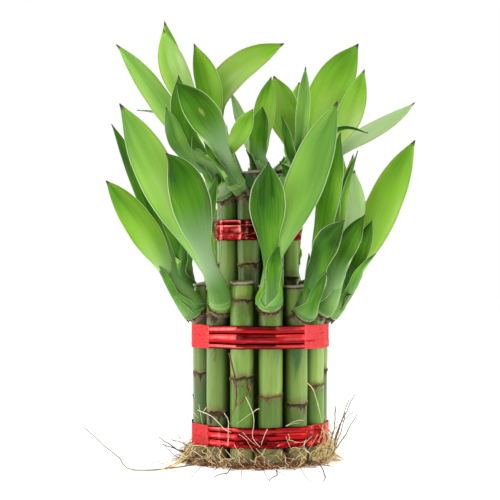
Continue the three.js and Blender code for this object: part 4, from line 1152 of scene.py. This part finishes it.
# A root that strays step by step, is pulled along, and stays off the canes and floor
def wander(draw, start, steps, stride, pull, keep):
    points, point = [start], start
    way = Vector((draw.uniform(-1, 1), draw.uniform(-1, 1), draw.uniform(-0.4, 0.4)))
    for _ in range(steps):
        shake = Vector((draw.gauss(0, 1), draw.gauss(0, 1), draw.gauss(0, 0.7)))
        way = (way * keep + shake * 0.45 + pull(point)).normalized()
        point = point + way * stride
        point.z = max(FLOOR_CLEAR, point.z)
        reach, least = math.hypot(point.x, point.y), least_reach(point)
        if reach < least:
            point = Vector((point.x * least / reach, point.y * least / reach, point.z))
        points.append(point)
    return points


for index, (angle, _) in enumerate(outer_spots):
    draw = random.Random(300 + index)
    curve = bpy.data.curves.new(f"roots_{index + 1:02d}", "CURVE")
    curve.dimensions = "3D"
    curve.bevel_depth = 1
    curve.bevel_resolution = 1
    curve.use_fill_caps = True
    for material in ROOT_FINISHES:
        curve.materials.append(material)
    right = smooth(25, 60, angle) * smooth(130, 90, angle)
    bundles = [(draw.uniform(-13, 13), draw.gauss(0, 0.4)) for _ in range(4)]
    front = smooth(80, 30, abs(angle - 370 * (angle > 190)))
    for _ in range(round(STRANDS * (1 - 0.55 * front))):
        at, lean = draw.choice(bundles)
        turn = angle + at + draw.gauss(0, 4)
        start = level(turn) * ROOT_REACH
        start.z = draw.uniform(3, 10.5)
        drift = level(turn + 90) * (lean + draw.gauss(0, 0.25))
        keep_in = draw.uniform(37, 40.5 - 1.5 * right)

        def pull(point):
            out = Vector((point.x, point.y, 0))
            return drift - UP * 0.28 + out.normalized() * 0.25 * (keep_in - out.length)

        thick = draw.uniform(0.12, 0.24)
        kind = draw.choices((STRAW, RUST, WHITE, DARK_AND_SHADOW),
                            (3 + 9 * right, 5 - 4 * right, 3, 0.5))[0]
        add_root(curve, wander(draw, start, draw.randint(7, 13), 1.3, pull, 0.8),
                 thick, thick * 0.5, kind)
    for _ in range(round(MAT_ROOTS * (1 - 0.4 * right))):
        turn = draw.uniform(-14, 14)
        start = level(angle + turn)
        start *= draw.uniform(least_reach(start * OUTER_RING), 38.3 - right)
        start.z = 0.5 + 3.5 * draw.random() ** 1.5
        drift = level(angle + turn + 90) * draw.choice((-1, 1)) * draw.uniform(0.2, 0.9)
        drift += level(angle + turn) * draw.uniform(-0.1, 0.3 - 0.42 * right)
        thick = draw.uniform(0.13, 0.3)
        kind = draw.choices((STRAW, RUST, WHITE, DARK_AND_SHADOW),
                            (2 + 9 * right, 11 - 9 * right, 1.5, 4 - 3.5 * right))[0]
        add_root(curve, wander(draw, start, draw.randint(5, 9), 1.6,
                               lambda point: drift - UP * (0.05 + 0.09 * point.z), 0.8),
                 thick, thick * 0.45, kind)
    for _ in range(round(CURLS * right)):
        start = level(angle + draw.uniform(-13, 13)) * (ROOT_REACH + 0.3)
        start.z = draw.uniform(1, 17)
        curl = Vector((draw.uniform(-0.5, 0.25), draw.uniform(-0.8, 0.3), draw.uniform(-0.5, 0.7)))
        curl += level(angle) * 0.12
        add_root(curve, wander(draw, start, draw.randint(7, 12), 1.7, lambda point: (
                     curl - UP * (0.02 + 0.05 * max(0, point.z - 8))), 0.8),
                 draw.uniform(0.16, 0.3), 0.1, draw.choice((STRAW, STRAW, STRAW, WHITE)))
    for _ in range(round(RUNNERS * (1 - 0.7 * right))):
        turn = draw.uniform(-13, 13)
        start = level(angle + turn) * (ROOT_REACH + 0.2)
        start.z = draw.uniform(1, 6)
        out = level(angle + turn + draw.uniform(-40, 40)) * 0.55
        add_root(curve, wander(draw, start, draw.randint(3, 7), 2.2,
                               lambda point: out - UP * (0.12 * point.z), 1.2),
                 draw.uniform(0.12, 0.22), 0.06, draw.choice((STRAW, RUST, WHITE, DARK_AND_SHADOW, DARK_AND_SHADOW)))
    for run in LONG_ROOTS.get(index, []):
        points = []
        for j in range(len(run) - 1):
            for share in (0, 0.33, 0.67):
                point = Vector(run[j]).lerp(Vector(run[j + 1]), share)
                shake = Vector((draw.uniform(-0.6, 0.6), draw.uniform(-0.6, 0.6),
                                draw.uniform(-0.3, 0.5)))
                points.append(point + shake * (1 if j or share else 0))
        points.append(Vector(run[-1]))
        for point in points:
            point.z = max(LONG_CLEAR, point.z)
        add_root(curve, points, LONG_THICK, LONG_THIN,
                 OLIVE if index in OLIVE_TUFTS else DARK_AND_SHADOW)
    for run, thick, kind in FRONT_ROOTS.get(index, []):
        add_root(curve, [Vector(point) for point in run], thick * 0.85, thick * 0.5, kind)
    tuft = bpy.data.objects.new(f"root_tuft_{index + 1:02d}", curve)
    bpy.context.scene.collection.objects.link(tuft)
    alone(tuft)
    bpy.ops.object.convert(target="MESH")
    tuft = bpy.context.object
    bpy.ops.object.shade_smooth()
    ride_for(tuft, f"outer_roots_{index + 1:02d}")

# Studio
# A pale floor and a white sky, which light the plant only dimly, so that the foil and the gaps
# between the canes stay dark. Broad soft panels stand on both sides, above and, out of view,
# behind. The camera stands level with the middle of the plant.

SKY_LIGHT = 0.25
PLANT_MIDDLE = Vector((0, 0, 0.12))
# Each panel has its place, its width and height, and its power.
PANELS = {
    "left_panel": ((-0.85, -0.25, 0.3), (0.8, 0.7), 6),
    "right_panel": ((0.85, -0.25, 0.3), (0.8, 0.7), 5),
    "top_panel": ((-0.2, -0.3, 1.1), (0.8, 0.8), 5),
    "left_back": ((-0.7, 0.6, 0.4), (0.5, 0.8), 3),
    "right_back": ((0.7, 0.6, 0.4), (0.5, 0.8), 3),
}


def aim_at(thing, place, target):
    bpy.context.scene.collection.objects.link(thing)
    thing.location = place
    thing.rotation_euler = (target - thing.location).to_track_quat("-Z", "Y").to_euler()


bpy.ops.object.select_all(action="DESELECT")
bpy.ops.mesh.primitive_plane_add(size=6, location=(0, 1, 0))
floor = bpy.context.object
floor.name = "studio_floor"
bpy.ops.object.transform_apply(location=True)
backdrop, tree, shader = finish_of(
    "studio paper", 0.9, Base_Color=(0.45, 0.45, 0.45, 1), Emission_Color=(1, 1, 1, 1),
    Emission_Strength=0.9)
floor.data.materials.append(backdrop)

world = bpy.data.worlds.new("white sky")
bpy.context.scene.world = world
world.use_nodes = True
sky = world.node_tree.nodes["Background"]
sky.inputs["Color"].default_value = (1, 1, 1, 1)
seen = world.node_tree.nodes.new("ShaderNodeLightPath").outputs["Is Camera Ray"]
world.node_tree.links.new(plus(times(seen, 1 - SKY_LIGHT), SKY_LIGHT), sky.inputs["Strength"])

for name, (place, size, power) in PANELS.items():
    panel = bpy.data.lights.new(name, "AREA")
    panel.shape, panel.energy, (panel.size, panel.size_y) = "RECTANGLE", power, size
    aim_at(bpy.data.objects.new(name, panel), place, PLANT_MIDDLE)

lens = bpy.data.cameras.new("camera")
lens.sensor_width, lens.lens = 36, 110.8
camera = bpy.data.objects.new("camera", lens)
aim_at(camera, (-0.005, -0.8, 0.1), Vector((-0.005, 0, 0.109)))
bpy.context.scene.camera = camera
bpy.context.scene.view_settings.view_transform = "Standard"
